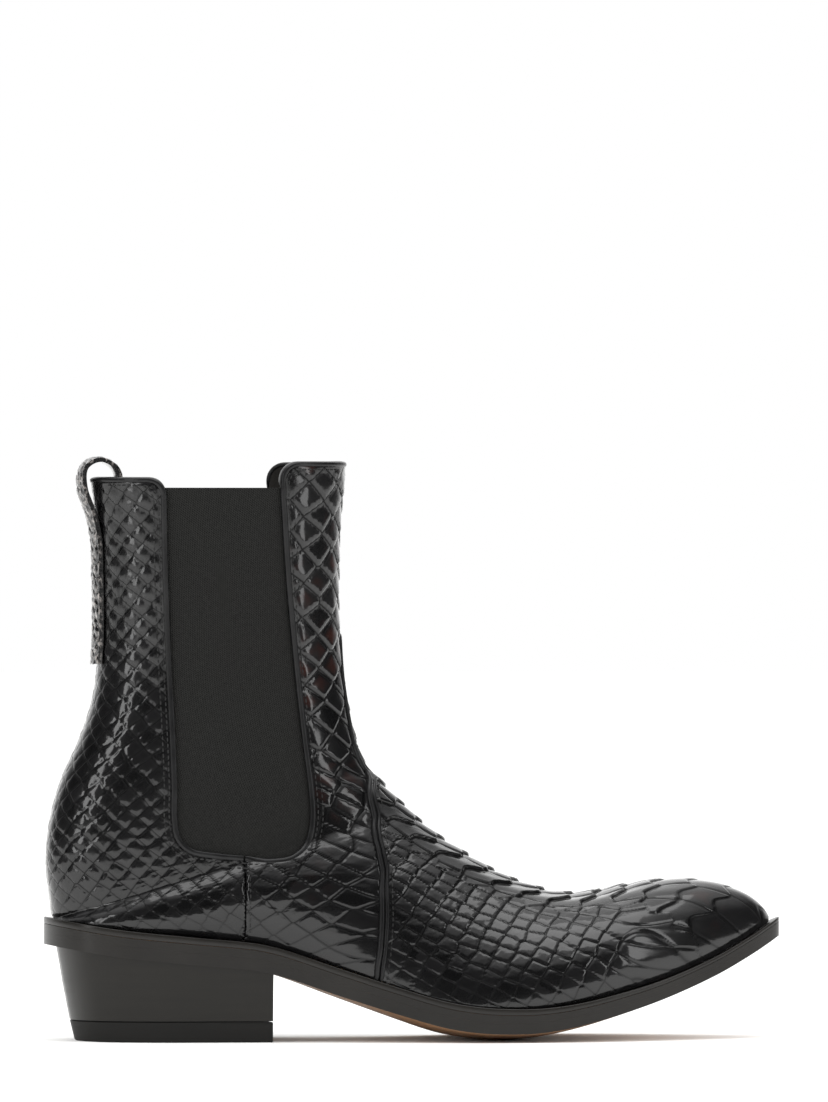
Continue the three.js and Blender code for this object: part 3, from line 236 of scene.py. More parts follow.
# %% The last's sections: back end (x, z), front end (x, z), half-width between them, fullness
HEEL_RIM = 10  # the first section whose back end is on the sole's edge, so that it has no height of its own
SECTIONS = [
    ((-134.6, 239), (-27.3, 245), 31.5, 0.86), ((-131.2, 215), (-30.3, 217), 31, 0.86),
    ((-130.1, 190), (-31.3, 193), 30.5, 0.86), ((-130.1, 163), (-31.1, 171), 29.5, 0.86),
    ((-132.4, 141), (-29.9, 152), 29, 0.86), ((-138.6, 122), (-27.3, 136), 29.5, 0.86),
    ((-145.6, 106.5), (-24, 122.5), 30, 0.86), ((-150.3, 89), (-19.8, 112), 30.5, 0.86),
    ((-151.6, 73), (-15, 107.2), 31, 0.86), ((-150.2, 58), (-9.5, 101.3), 31.5, 0.86),
    ((-148.7,), (-4, 96), 31.5, 0.86), ((-141,), (-0.4, 92.4), 31, 0.87), ((-127,), (3.6, 88.8), 30, 0.88),
    ((-107,), (8, 85.2), 29, 0.9), ((-84,), (13, 81.6), 28, 0.92), ((-66,), (18, 78.4), 27.5, 0.93),
    ((-49,), (24, 74.8), 27, 0.94), ((-32,), (31.5, 70.3), 26.5, 0.95), ((-15,), (40, 66.2), 26, 0.96),
    ((2,), (49.5, 62.7), 26, 0.96), ((19,), (59, 60.3), 26, 0.96), ((36,), (69, 59.7), 26, 0.95),
    ((52,), (79, 60.9), 26, 0.94), ((66,), (89, 63), 25, 0.93), ((80,), (98, 64.6), 23.5, 0.92),
    ((105,), (116, 65.3), 18, 0.9), ((124,), (129.5, 62.9), 12.5, 0.9), ((137,), (139.6, 58.6), 8, 0.92),
    ((144.4,), (145.8, 53.6), 4.2, 0.95), ((147.9,), (148.4, 49.9), 0.6, 1),
]
V_RIM = HEEL_RIM / (len(SECTIONS) - 1)
DRAWN_HEIGHT, ANKLE = 237.0, 120.0


def placed(place):
    x = float(lengthwise(place[0]))
    if len(place) == 1:
        return x, float(welt_top(x)) + CLEARANCE
    lift = STACK - DRAWN_STACK
    stretch = (SHAFT_HEIGHT - ANKLE - lift) / (DRAWN_HEIGHT - ANKLE)
    return x, lift + (place[1] if place[1] < ANKLE else ANKLE + (place[1] - ANKLE) * stretch)


V_TABLE = np.linspace(0, 1, 2901)
BACK = spline([placed(s[0]) for s in SECTIONS], V_TABLE)
FRONT = spline([placed(s[1]) for s in SECTIONS], V_TABLE)
section_v = np.arange(len(SECTIONS)) / (len(SECTIONS) - 1)
BULGE = through(list(zip(section_v, [s[2] for s in SECTIONS])))(V_TABLE)
FULLNESS = through(list(zip(section_v, [s[3] for s in SECTIONS])))(V_TABLE)
MARGIN_PER_U = 120.0  # past u = 1 the leather turns in under the foot: this many millimetres for 1


def at_v(table, v):
    if table.ndim == 1:
        return np.interp(v, V_TABLE, table)
    return np.stack([np.interp(v, V_TABLE, column) for column in table.T], axis=-1)


def skin(u, v):
    """The outer face of the leather at (u, v), in millimetres."""
    u, v = np.broadcast_arrays(np.asarray(u, float), np.asarray(v, float))
    side = np.where(u < 0, -1.0, 1.0)
    around = np.minimum(np.abs(u), 1)
    back, front = at_v(BACK, v), at_v(FRONT, v)
    rise = (1 + np.cos(np.pi * around)) / 2
    edge_x = np.clip(back[..., 0], feather_plan.low, feather_plan.high)
    base = np.where(v > V_RIM, np.abs(feather_plan.edge(edge_x, side) - axis_y(edge_x)), 0)
    spread = base * np.sin(np.pi / 2 * around)
    full = SOLE_WIDTH / 100 * at_v(BULGE, v) * np.sin(np.pi * around).clip(0) ** at_v(FULLNESS, v)
    x = mix(back[..., 0], front[..., 0], rise)
    z = mix(back[..., 1], front[..., 1], rise)
    middle = mix(axis_y(edge_x), axis_y(x) + 1.5 * smooth(v, V_RIM, 1), rise)
    y = middle + side * np.hypot(spread, full)
    turned = np.maximum(np.abs(u) - 1, 0) * MARGIN_PER_U
    toe = smooth(v, 0.9, 1)
    x = x - turned * toe * 0.9
    y = y - side * turned * (1 - 0.6 * toe)
    z = np.where(turned > 0, welt_top(x) + CLEARANCE, z)
    return np.stack([x, y, z], axis=-1)


def outward(u, v):
    """Unit vectors square to the skin, pointing out."""
    du, dv = 0.006, 0.003
    u = np.clip(np.asarray(u, float), -1, 1)
    v = np.asarray(v, float)
    along_u = skin(np.minimum(u + du, 1), v) - skin(np.maximum(u - du, -1), v)
    along_v = skin(u, np.minimum(v + dv, 1)) - skin(u, np.maximum(v - dv, 0))
    normal = np.cross(along_v, along_u)
    return normal / np.maximum(np.linalg.norm(normal, axis=-1), 1e-9)[..., None]


def on_pattern(points, side=-1):
    """(u, v) of points (x, z) of the side view."""
    x, z = np.array(points, float).T
    low, high = np.zeros(len(x)), np.ones(len(x))
    for _ in range(40):
        v = (low + high) / 2
        b, f = at_v(BACK, v), at_v(FRONT, v)
        above = (f[:, 0] - b[:, 0]) * (z - b[:, 1]) - (f[:, 1] - b[:, 1]) * (x - b[:, 0]) > 0
        low, high = np.where(above, low, v), np.where(above, v, high)
    share = ((x - b[:, 0]) * (f - b)[:, 0] + (z - b[:, 1]) * (f - b)[:, 1]) / ((f - b) ** 2).sum(axis=1)
    return np.stack([side * np.arccos(np.clip(2 * share - 1, -1, 1)) / np.pi, v], axis=1)



# %% Arc lengths, which measure the leather
# Along the section from the ridge to (u, v), and along the boot from the topline to (u, v), in millimetres.
GRID_U, GRID_V = np.linspace(0, 1, 61), np.linspace(0, 1, 291)
grid_skin = skin(-GRID_U[:, None], GRID_V[None])
ROUND_RUN = np.zeros((61, 291))
ROUND_RUN[1:] = np.cumsum(np.linalg.norm(np.diff(grid_skin, axis=0), axis=2), axis=0)
ALONG_RUN = np.zeros((61, 291))
ALONG_RUN[:, 1:] = np.cumsum(np.linalg.norm(np.diff(grid_skin, axis=1), axis=2), axis=1)


def on_grid(table, u, v):
    a, b = np.clip(np.abs(u), 0, 1) * 60, np.clip(v, 0, 1) * 290
    i, j = np.minimum(a.astype(int), 59), np.minimum(b.astype(int), 289)
    a, b = a - i, b - j
    low, high = mix(table[i, j], table[i + 1, j], a), mix(table[i, j + 1], table[i + 1, j + 1], a)
    return mix(low, high, b)


def unit(v):
    return v / np.maximum(np.linalg.norm(v, axis=-1), 1e-9)[..., None]


print("last:", skin(0, 0.5).round(1), skin(-1, 0.5).round(1), "outward", outward(-0.5, 0.2).round(2))

# %% [markdown]
# ## Nodes written as sums
# Shader and geometry trees share their Math nodes. A small class wraps a socket, so that a formula is written as it is
# read, and one method makes every other node.


# %% Sums on sockets
class Term:
    """A socket, with arithmetic that adds Math nodes to its tree."""

    def __init__(self, bench, socket):
        self.bench, self.socket = bench, socket

    def math(self, operation, *values):
        settings = {"operation": operation}
        return self.bench.node("ShaderNodeMath", settings, dict(enumerate(values)))

    def __add__(self, other):
        return self.math("ADD", self, other)

    def __radd__(self, other):
        return self.math("ADD", other, self)

    def __sub__(self, other):
        return self.math("SUBTRACT", self, other)

    def __rsub__(self, other):
        return self.math("SUBTRACT", other, self)

    def __mul__(self, other):
        return self.math("MULTIPLY", self, other)

    def __rmul__(self, other):
        return self.math("MULTIPLY", other, self)

    def __truediv__(self, other):
        return self.math("DIVIDE", self, other)

    def __pow__(self, other):
        return self.math("POWER", self, other)

    def at_least(self, other):
        return self.math("MAXIMUM", self, other)

    def at_most(self, other):
        return self.math("MINIMUM", self, other)

    def sine(self):
        return self.math("SINE", self)

    def size(self):
        return self.math("ABSOLUTE", self)

    def ramp(self, low, high, to_low=0.0, to_high=1.0):
        """to_low below low, to_high above high, and smooth between."""
        values = {0: self, 1: low, 2: high, 3: to_low, 4: to_high}
        return self.bench.node("ShaderNodeMapRange", {"interpolation_type": "SMOOTHSTEP"}, values)


class Bench:
    """Makes the nodes of one tree."""

    def __init__(self, tree):
        self.tree = tree

    def node(self, kind, settings=None, inputs=None, output=0):
        """A node of a kind with its settings, then the values or links of its sockets; gives one output."""
        made = self.tree.nodes.new(kind)
        for name, value in (settings or {}).items():
            if name == "stops":
                stops = made.color_ramp.elements
                while len(stops) < len(value):
                    stops.new(1.0)
                for stop, (place, colour) in zip(stops, value):
                    stop.position, stop.color = place, (*colour, 1)
            else:
                setattr(made, name, value)
        for name, value in (inputs or {}).items():
            if isinstance(value, Term):
                self.tree.links.new(value.socket, made.inputs[name])
            else:
                made.inputs[name].default_value = value
        shown = [socket for socket in made.outputs if socket.enabled]
        return Term(self, shown[output] if isinstance(output, int) else made.outputs[output])

    def mixed(self, share, low, high):
        """A colour between two others."""
        return self.node("ShaderNodeMix", {"data_type": "RGBA"}, {0: share, 6: low, 7: high})

    def attribute(self, name, output="Fac"):
        return self.node("ShaderNodeAttribute", {"attribute_name": name}, output=output)

    def noise(self, vector, scale, detail=3.0, roughness=0.55):
        inputs = {"Vector": vector, "Scale": scale, "Detail": detail, "Roughness": roughness}
        return self.node("ShaderNodeTexNoise", None, inputs)

    def stretched(self, vector, scale, turn=(0, 0, 0)):
        return self.node("ShaderNodeMapping", None, {"Vector": vector, "Scale": scale, "Rotation": turn})

    def bump(self, height, distance, strength=1.0, normal=None):
        inputs = {"Height": height, "Distance": distance, "Strength": strength}
        if normal is not None:
            inputs["Normal"] = normal
        return self.node("ShaderNodeBump", None, inputs)


def finish_of(name, **constants):
    """A material with its shader's constants set, and the bench to work on it. link() joins what varies."""
    material = bpy.data.materials.new(name)
    material.use_nodes = True
    bench = Bench(material.node_tree)
    shader = material.node_tree.nodes["Principled BSDF"]
    for socket, value in constants.items():
        shader.inputs[socket.replace("_", " ")].default_value = value

    def link(**terms):
        for socket, term in terms.items():
            material.node_tree.links.new(term.socket, shader.inputs[socket.replace("_", " ")])

    return material, bench, link


# %% [markdown]
# ## Finishes
# The leather is black under a hard polish. The polish is a coat over the colour, so that each scale throws back the
# lights by itself. Deep in the grooves the polish is thin and dull. The big belly scales get a painted red-brown
# glint in their colour, which stands in for the reflections they throw.


# %% Scaled leather
def scaled_leather(name="scaled leather", wear=0.0):
    material, bench, link = finish_of(
        name, IOR=1.5, Specular_IOR_Level=0.12, Coat_Roughness=0.11, Coat_IOR=1.5
    )
    cell = bench.attribute("scale_cell", "Vector")
    groove = bench.attribute("groove")
    tone = bench.attribute("tone")
    warmth = bench.attribute("warmth")
    calm = bench.attribute("calm")
    place = bench.node("ShaderNodeTexCoord", None, None, "Object")
    edge = bench.node(
        "ShaderNodeTexVoronoi",
        {"feature": "DISTANCE_TO_EDGE", "voronoi_dimensions": "2D"},
        {"Vector": cell, "Scale": 1.0, "Randomness": 0.22},
    )
    crack = edge.ramp(0.0, 0.055, 1.0, 0.0) * (1 - calm * 0.75)
    fold = edge.ramp(0.05, 0.09) * edge.ramp(0.1, 0.17, 1.0, 0.0) * (1 - calm * 0.8)
    creases = bench.noise(bench.stretched(cell, (5.0, 1.3, 1.0)), 2.2, 4.0, 0.6)
    cloud = bench.noise(place, 38.0, 3.0)
    pores = bench.noise(place, 900.0, 2.0)
    # Painted reflection: the big scales get a red-brown glint mixed into their base colour, away from their edges.
    painted_red_glint = (warmth * cloud.ramp(0.5, 0.66) * edge.ramp(0.12, 0.4) * (1 - crack)).at_most(1.0)
    dark = bench.mixed(tone, (0.002, 0.002, 0.0022, 1), (0.006, 0.0058, 0.0062, 1))
    tinted = bench.mixed(painted_red_glint, dark, (0.022, 0.006, 0.004, 1))
    # Painted shade: the grooves between the scales are coloured darker than the scales.
    colour = bench.mixed((crack * 0.9).at_most(1.0), tinted, (0.0012, 0.0011, 0.0012, 1))
    if wear:
        flecks = bench.noise(bench.stretched(place, (1.0, 1.0, 0.6)), 620.0, 4.0, 0.75).ramp(0.5, 0.62) * wear
        colour = bench.mixed((flecks * (1 - groove * 0.5) * (1 - calm)).at_most(1.0), colour, (0.36, 0.33, 0.31, 1))
    height = crack * -1.0 + fold * 0.35 + creases * 0.3 * (1 - calm * 0.6)
    fine = bench.bump(pores, 0.00006, 0.5)
    relief = bench.bump(height, 0.00028, 0.9, fine)
    polish = (0.95 - crack * 0.75 - groove * 0.2 + cloud * 0.08).at_least(0.1).at_most(1.0)
    dull = (0.24 + creases * 0.16 + crack * 0.35 + tone * 0.05).at_most(0.8)
    link(Base_Color=colour, Roughness=dull, Coat_Weight=polish, Normal=relief)
    return material


# %% Smooth leather, for the bindings, the piping and the lining
def smooth_leather(name, colour, roughness, coat, grain=0.00005):
    material, bench, link = finish_of(name, Coat_Weight=coat, Coat_Roughness=0.2, Specular_IOR_Level=0.15)
    place = bench.node("ShaderNodeTexCoord", None, None, "Object")
    cloud = bench.noise(place, 60.0, 3.0)
    pores = bench.node(
        "ShaderNodeTexVoronoi", {"feature": "DISTANCE_TO_EDGE"}, {"Vector": place, "Scale": 1500.0}
    )
    rub = tuple(min(1.0, c * 1.7 + 0.004) for c in colour[:3]) + (1,)
    link(
        Base_Color=bench.mixed(cloud.ramp(0.4, 0.68), (*colour, 1), rub),
        Roughness=(roughness + cloud * 0.18).at_most(1.0),
        Normal=bench.bump(pores.ramp(0.0, 0.3) + cloud, grain, 0.6),
    )
    return material


# %% Elastic webbing: fine upright ribs crossed by a slanting twill
def elastic_webbing():
    material, bench, link = finish_of("elastic webbing", Specular_IOR_Level=0.08)
    across = bench.node("ShaderNodeSeparateXYZ", None, {0: bench.attribute("weave", "Vector")}, "X")
    along = bench.node("ShaderNodeSeparateXYZ", None, {0: bench.attribute("weave", "Vector")}, "Y")
    turn = 2 * math.pi
    rib = (across * (turn / 0.95)).sine() * 0.5 + 0.5
    twill = ((along * 1.25 + across * 0.9) * (turn / 1.1)).sine() * 0.5 + 0.5
    pick = (along * (turn / 0.55)).sine() * 0.5 + 0.5
    yarn = (rib * 0.45 + twill * 0.75 + pick * 0.25) / 1.45
    place = bench.node("ShaderNodeTexCoord", None, None, "Object")
    fuzz = bench.noise(place, 700.0, 2.0)
    thread = (yarn * 0.8 + fuzz * 0.3).at_most(1.0)
    link(
        Base_Color=bench.mixed(thread, (0.0004, 0.0004, 0.0004, 1), (0.03, 0.03, 0.0285, 1)),
        Roughness=0.72 + yarn * 0.18,
        Normal=bench.bump(yarn + fuzz * 0.3, 0.0004, 1.0),
    )
    return material


# %% Sole leather: the edge and the top are stained black, the underside is left tan
def sole_finish():
    material, bench, link = finish_of("stained sole leather", Coat_Roughness=0.24, Specular_IOR_Level=0.15)
    place = bench.node("ShaderNodeTexCoord", None, None, "Object")
    facing = bench.node("ShaderNodeNewGeometry", None, None, "Normal")
    down = bench.node("ShaderNodeSeparateXYZ", None, {0: facing}, "Z")
    bare = (down * -1.0).ramp(0.72, 0.86)
    cloud = bench.noise(place, 45.0, 4.0)
    fibres = bench.noise(bench.stretched(place, (60.0, 60.0, 900.0)), 1.0, 3.0)
    grain = bench.noise(bench.stretched(place, (300.0, 900.0, 300.0)), 1.0, 4.0)
    stain = bench.mixed(cloud, (0.0075, 0.0066, 0.0058, 1), (0.019, 0.017, 0.0145, 1))
    tan = bench.mixed(grain, (0.16, 0.078, 0.034, 1), (0.33, 0.18, 0.088, 1))
    link(
        Base_Color=bench.mixed(bare, stain, tan),
        Roughness=(0.3 + fibres * 0.12 + bare * 0.22).at_most(1.0),
        Coat_Weight=0.4 - bare * 0.25,
        Normal=bench.bump(fibres * (1 - bare) + grain * bare, 0.00009, 0.5),
    )
    return material


# %% The heel's stacked leather, painted, and its rubber
def heel_finish(name, dark, light, roughness, coat):
    material, bench, link = finish_of(name, Coat_Weight=coat, Coat_Roughness=0.16, Specular_IOR_Level=0.12)
    place = bench.node("ShaderNodeTexCoord", None, None, "Object")
    streaks = bench.noise(bench.stretched(place, (26.0, 26.0, 420.0)), 1.0, 4.0, 0.6)
    cloud = bench.noise(place, 30.0, 3.0)
    speck = bench.noise(place, 1300.0, 2.0)
    link(
        Base_Color=bench.mixed((streaks * 0.6 + cloud * 0.5).at_most(1.0), (*dark, 1), (*light, 1)),
        Roughness=(roughness + streaks * 0.14 + speck * 0.05).at_most(1.0),
        Normal=bench.bump(streaks * 0.6 + speck * 0.25, 0.00007, 0.5),
    )
    return material


# %% Plain finishes of the inner pieces
def inner_finish(name, dark, light, scale, roughness, metallic=0.0):
    material, bench, link = finish_of(name, Metallic=metallic)
    place = bench.node("ShaderNodeTexCoord", None, None, "Object")
    fleck = bench.noise(place, scale, 4.0, 0.65)
    link(
        Base_Color=bench.mixed(fleck.ramp(0.35, 0.65), (*dark, 1), (*light, 1)),
        Roughness=(roughness + fleck * 0.15).at_most(1.0),
        Normal=bench.bump(fleck, 0.00015, 0.5),
    )
    return material


SCALES = scaled_leather()
WORN_SCALES = scaled_leather("worn scaled leather", 0.85)
BINDING = smooth_leather("binding leather", (0.005, 0.005, 0.0053), 0.3, 0.35)
LINING_SKIN = smooth_leather("lining leather", (0.014, 0.0125, 0.011), 0.42, 0.1, 0.00008)
THREAD = smooth_leather("waxed thread", (0.018, 0.018, 0.018), 0.5, 0.1)
WEBBING = elastic_webbing()
SOLE = sole_finish()
STACKED = heel_finish("stacked heel leather", (0.006, 0.0054, 0.0044), (0.014, 0.0125, 0.010), 0.27, 0.3)
RUBBER = heel_finish("heel rubber", (0.0085, 0.0082, 0.0078), (0.015, 0.0145, 0.0135), 0.5, 0.05)
BOARD = inner_finish("leather board", (0.26, 0.16, 0.09), (0.42, 0.29, 0.17), 300.0, 0.75)
CORK = inner_finish("bonded cork", (0.12, 0.07, 0.035), (0.36, 0.23, 0.12), 500.0, 0.85)
STEEL = inner_finish("spring steel", (0.32, 0.33, 0.34), (0.5, 0.51, 0.52), 900.0, 0.3, 1.0)
print("finishes:", len(bpy.data.materials))

# %% [markdown]
# ## Scales that stand off the leather
# A Geometry Nodes tree gives a wrapped panel its scales. Each vertex carries the place of its scale in a lattice, how
# high the scales stand, and how far each one's free end lifts over the next. A Voronoi lattice with little randomness
# finds the scale that a vertex belongs to, and the vertex moves out along its normal.


# %% The ScaleRelief tree
def scale_relief():
    tree = bpy.data.node_groups.new("ScaleRelief", "GeometryNodeTree")
    face = tree.interface
    face.new_socket("Geometry", in_out="INPUT", socket_type="NodeSocketGeometry")
    for name, value in (("Groove Width", 0.16), ("Irregularity", 0.22), ("Roughness", 0.1)):
        face.new_socket(name, in_out="INPUT", socket_type="NodeSocketFloat").default_value = value
    face.new_socket("Seed", in_out="INPUT", socket_type="NodeSocketInt").default_value = 7
    face.new_socket("Finish", in_out="INPUT", socket_type="NodeSocketMaterial")
    face.new_socket("Geometry", in_out="OUTPUT", socket_type="NodeSocketGeometry")
    bench = Bench(tree)
    given = tree.nodes.new("NodeGroupInput")
    groove_width, irregular, rough, seed = (
        Term(bench, given.outputs[name]) for name in ("Groove Width", "Irregularity", "Roughness", "Seed")
    )

    def named(name, kind="FLOAT"):
        return bench.node("GeometryNodeInputNamedAttribute", {"data_type": kind}, {"Name": name})

    cell = named("scale_cell", "FLOAT_VECTOR")
    voronoi = {"Vector": cell, "Scale": 1.0, "Randomness": irregular}
    flat = {"voronoi_dimensions": "2D"}
    edge = bench.node("ShaderNodeTexVoronoi", {"feature": "DISTANCE_TO_EDGE", **flat}, voronoi, "Distance")
    middle = bench.node("ShaderNodeTexVoronoi", {"feature": "F1", **flat}, voronoi, "Position")
    away = bench.node("ShaderNodeVectorMath", {"operation": "SUBTRACT"}, {0: cell, 1: middle})
    forward = bench.node(
        "ShaderNodeVectorMath", {"operation": "DOT_PRODUCT"}, {0: away, 1: named("free_end", "FLOAT_VECTOR")}, "Value"
    )
    own = bench.node("FunctionNodeRandomValue", {"data_type": "FLOAT"}, {"Seed": seed}, 0)
    own_scale = bench.node("ShaderNodeTexWhiteNoise", {"noise_dimensions": "3D"}, {"Vector": middle}, "Value")
    plateau = edge.ramp(0.0, groove_width)
    pillow = edge.ramp(0.0, 0.5) * 0.2 + plateau * 0.8
    wrinkle = bench.node("ShaderNodeTexNoise", None, {"Vector": cell, "Scale": 3.0, "Detail": 3.0}, "Fac")
    height = named("lift") * (pillow - 0.5 + (own_scale - 0.5) * 0.25 + (wrinkle - 0.5) * rough * 4)
    height = height + named("overlap") * (forward + 0.15) * edge.ramp(0.0, 0.07)
    height = height + (own - 0.5) * 0.000004
    normal = bench.node("GeometryNodeInputNormal")
    offset = bench.node("ShaderNodeVectorMath", {"operation": "SCALE"}, {0: normal, "Scale": height})
    shape = bench.node(
        "GeometryNodeSetPosition", None, {"Geometry": Term(bench, given.outputs["Geometry"]), "Offset": offset}
    )
    for name, value in (("groove", 1 - plateau), ("tone", own_scale)):
        stored = {"Geometry": shape, "Name": name, "Value": value}
        shape = bench.node("GeometryNodeStoreNamedAttribute", {"data_type": "FLOAT", "domain": "POINT"}, stored)
    real = bench.node("GeometryNodeRealizeInstances", None, {"Geometry": shape})
    finished = {"Geometry": real, "Material": Term(bench, given.outputs["Finish"])}
    painted = bench.node("GeometryNodeSetMaterial", None, finished)
    out = tree.nodes.new("NodeGroupOutput")
    tree.links.new(painted.socket, out.inputs["Geometry"])
    return tree


def grown(piece, tree, values):
    """The piece with a tree's result as its own plain mesh. values are the tree's inputs by name."""
    modifier = piece.modifiers.new(tree.name, "NODES")
    modifier.node_group = tree
    for item in tree.interface.items_tree:
        if item.in_out == "INPUT" and item.name in values:
            modifier[item.identifier] = values[item.name]
    evaluated = piece.evaluated_get(bpy.context.evaluated_depsgraph_get())
    result = bpy.data.meshes.new_from_object(evaluated)
    result.name = piece.name
    if piece.type == "MESH":
        piece.modifiers.remove(modifier)
        piece.data = result
        return piece
    name = piece.name
    bpy.data.objects.remove(piece)
    return placed_object(name, result)


def placed_object(name, mesh):
    piece = bpy.data.objects.new(name, mesh)
    bpy.context.scene.collection.objects.link(piece)
    return piece


def piece_of(name, points, faces, finish, layers=None, flat=False):
    """A mesh piece from points in millimetres. layers are point attributes by name."""
    mesh = bpy.data.meshes.new(name)
    mesh.from_pydata((np.asarray(points) * MM).tolist(), [], [list(map(int, f)) for f in faces])
    if not flat:
        mesh.shade_smooth()
    mesh.materials.append(finish)
    for layer, values in (layers or {}).items():
        values = np.asarray(values, dtype=np.float32)
        kind = "FLOAT_VECTOR" if values.ndim == 2 else "FLOAT"
        attribute = mesh.attributes.new(layer, kind, "POINT")
        attribute.data.foreach_set("vector" if values.ndim == 2 else "value", values.ravel())
    return placed_object(name, mesh)


def settle(piece, nodes):
    """Rides the piece on the root, and hides the frame's nodes that it stands for."""
    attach(piece, "root")
    if nodes:
        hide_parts(*nodes)
    print(piece.name, len(piece.data.polygons), "faces")
    return piece


RELIEF = scale_relief()

# %% [markdown]
# ## Seam lines
# The panels meet at lines that are drawn on the side view: the gore's opening, the quarter seam below it, and the vamp
# seam with its tongue. Every panel, binding and row of stitches takes its edge from them.

# %% Lines of the side view, as (x, z)
GORE_BACK = [(-104.9, 223), (-104.4, 197), (-103.2, 164), (-101.6, 131), (-100.7, 104), (-100.7, 91)]
GORE_FOOT = [(-99.2, 83.4), (-94.6, 79), (-84, 77), (-73, 76), (-61, 75.2), (-53.6, 76.6), (-47.8, 81.6)]
GORE_FRONT = [(-45.4, 90), (-45.7, 104), (-48, 123), (-51.7, 156), (-54.9, 188), (-57.3, 223)]
BACK_TOP, FRONT_TOP, GORE_TOP = SHAFT_HEIGHT - BACK_DROP, SHAFT_HEIGHT, SHAFT_HEIGHT - GORE_DROP
CORNER = 6.5
SEAM_X = float(lengthwise(-73))
TONGUE_TIP = 166
TONGUE = [(1.7, 165), (3.4, 162), (4.8, 156), (6.2, 146), (7.6, 134), (9.2, 122)]  # half-width, height
VAMP_SEAM = [(-20.4, 110), (-19.9, 101), (-18.4, 90), (-17.2, 77), (-16.8, 58), (-17.6, 41), (-19.2, 28)]
drawn_opening = np.array([placed(p) for p in GORE_BACK + GORE_FOOT + GORE_FRONT])
OPENING = walk(spline(drawn_opening, np.linspace(0, 1, 400)), 0.8)
BACK_EDGE_X, FRONT_EDGE_X = OPENING[0, 0], OPENING[-1, 0]
FOOT_V = V_TABLE[V_TABLE >= V_RIM]


def feather_v(x):
    return float(np.interp(x, BACK[V_TABLE >= V_RIM, 0], FOOT_V))


def on_ridge(z):
    shaft = V_TABLE < V_RIM
    return float(np.interp(-z, -FRONT[shaft, 1], V_TABLE[shaft]))


def on_back(z):
    shaft = V_TABLE < V_RIM
    return float(np.interp(-z, -BACK[shaft, 1], V_TABLE[shaft]))


def opening_edge(grow):
    """The gore's opening from the back of the topline, down and up to its front, moved out by grow."""
    ahead = unit(np.gradient(OPENING, axis=0))
    return OPENING + grow * np.stack([ahead[:, 1], -ahead[:, 0]], axis=1)


def corner(x, top, way):
    angles = np.linspace(0, math.pi / 2, 9)
    return np.stack([x + way * CORNER * (1 - np.cos(angles)), top - CORNER * (1 - np.sin(angles))], axis=1)


def back_edge_line(grow, drop):
    """From the quarter seam up the gore's back edge and along the topline."""
    line = opening_edge(grow)
    foot = np.argmax(line[:, 0] > SEAM_X)
    top = BACK_TOP - drop
    ends = [(lengthwise(x), top) for x in (-116, -121, -127)]
    rising = line[:foot][::-1]
    return np.vstack([rising[rising[:, 1] < top - CORNER], corner(BACK_EDGE_X - grow, top, -1), ends])


def front_edge_line(grow, drop):
    """The same in front of the gore."""
    line = opening_edge(grow)
    foot = np.argmax(line[:, 0] > SEAM_X)
    top = FRONT_TOP - drop
    ends = [(lengthwise(x), top) for x in (-46, -40, -34)]
    rising = line[foot:]
    return np.vstack([rising[rising[:, 1] < top - CORNER], corner(FRONT_EDGE_X + grow, top, 1), ends])


def seam_line(x):
    return np.stack([np.full(12, x), np.linspace(welt_top(x) + 2, 73, 12)], axis=1)


def half_width_u(half, v):
    low, high = 0.0, 0.5
    for _ in range(30):
        middle = (low + high) / 2
        low, high = (middle, high) if skin(middle, v)[1] - skin(0, v)[1] < half else (low, middle)
    return low


def vamp_seam(shift):
    """From the tip of the tongue down the lateral side to the sole's edge. shift moves it towards the toe."""
    tongue = []
    for half, z in TONGUE:
        v = on_ridge(placed((0, z))[1])
        tongue.append((-half_width_u(max(half - shift, 0.3), v), v))
    down = on_pattern(np.array([placed(p) for p in VAMP_SEAM]) + (shift, 0))
    foot = feather_v(float(lengthwise(-19.6)) + shift)
    tip = [(0, on_ridge(placed((0, TONGUE_TIP))[1] - shift))]
    corners = np.vstack([tip, tongue, down, [(-1, foot)]])
    return spline(corners, np.linspace(0, 1, 160))


def across(half):
    """The mirrored half, running the other way."""
    return (np.array(half) * (-1, 1))[::-1]


MARGIN_U = 1.04  # only this much of the turned-in leather is made: the sole hides the rest

# %% [markdown]
# ## Cutting and wrapping the leather
# Each panel starts as a flat outline. A constrained triangulation fills it with an even grid of points, and the last
# bends it to shape. The panel's edge is turned in, so that it shows its thickness where it meets a seam.

# %% A panel from its outline
PATTERN = np.array([130.0, 420.0])  # millimetres for one of u and one of v


def inside_rows(line, step):
    """The points of an even grid inside a closed line."""
    nodes = []
    start, end = line, np.roll(line, -1, axis=0)
    for row, y in enumerate(np.arange(line[:, 1].min(), line[:, 1].max(), step * 0.866)):
        crosses = (start[:, 1] <= y) != (end[:, 1] <= y)
        a, b = start[crosses], end[crosses]
        at = np.sort(a[:, 0] + (y - a[:, 1]) / (b[:, 1] - a[:, 1]) * (b[:, 0] - a[:, 0]))
        for low, high in zip(at[::2], at[1::2]):
            first = math.ceil(low / step - 0.5 * (row % 2))
            xs = (np.arange(first, high / step) + 0.5 * (row % 2)) * step
            nodes.extend((x, y) for x in xs if low < x < high)
    return np.array(nodes)


def within(points, line):
    """Which points lie inside a closed line."""
    inside = np.zeros(len(points), bool)
    for a, b in zip(line, np.roll(line, -1, axis=0)):
        crosses = (a[1] <= points[:, 1]) != (b[1] <= points[:, 1])
        if crosses.any():
            at = a[0] + (points[:, 1] - a[1]) / (b[1] - a[1]) * (b[0] - a[0])
            inside ^= crosses & (points[:, 0] < at)
    return inside


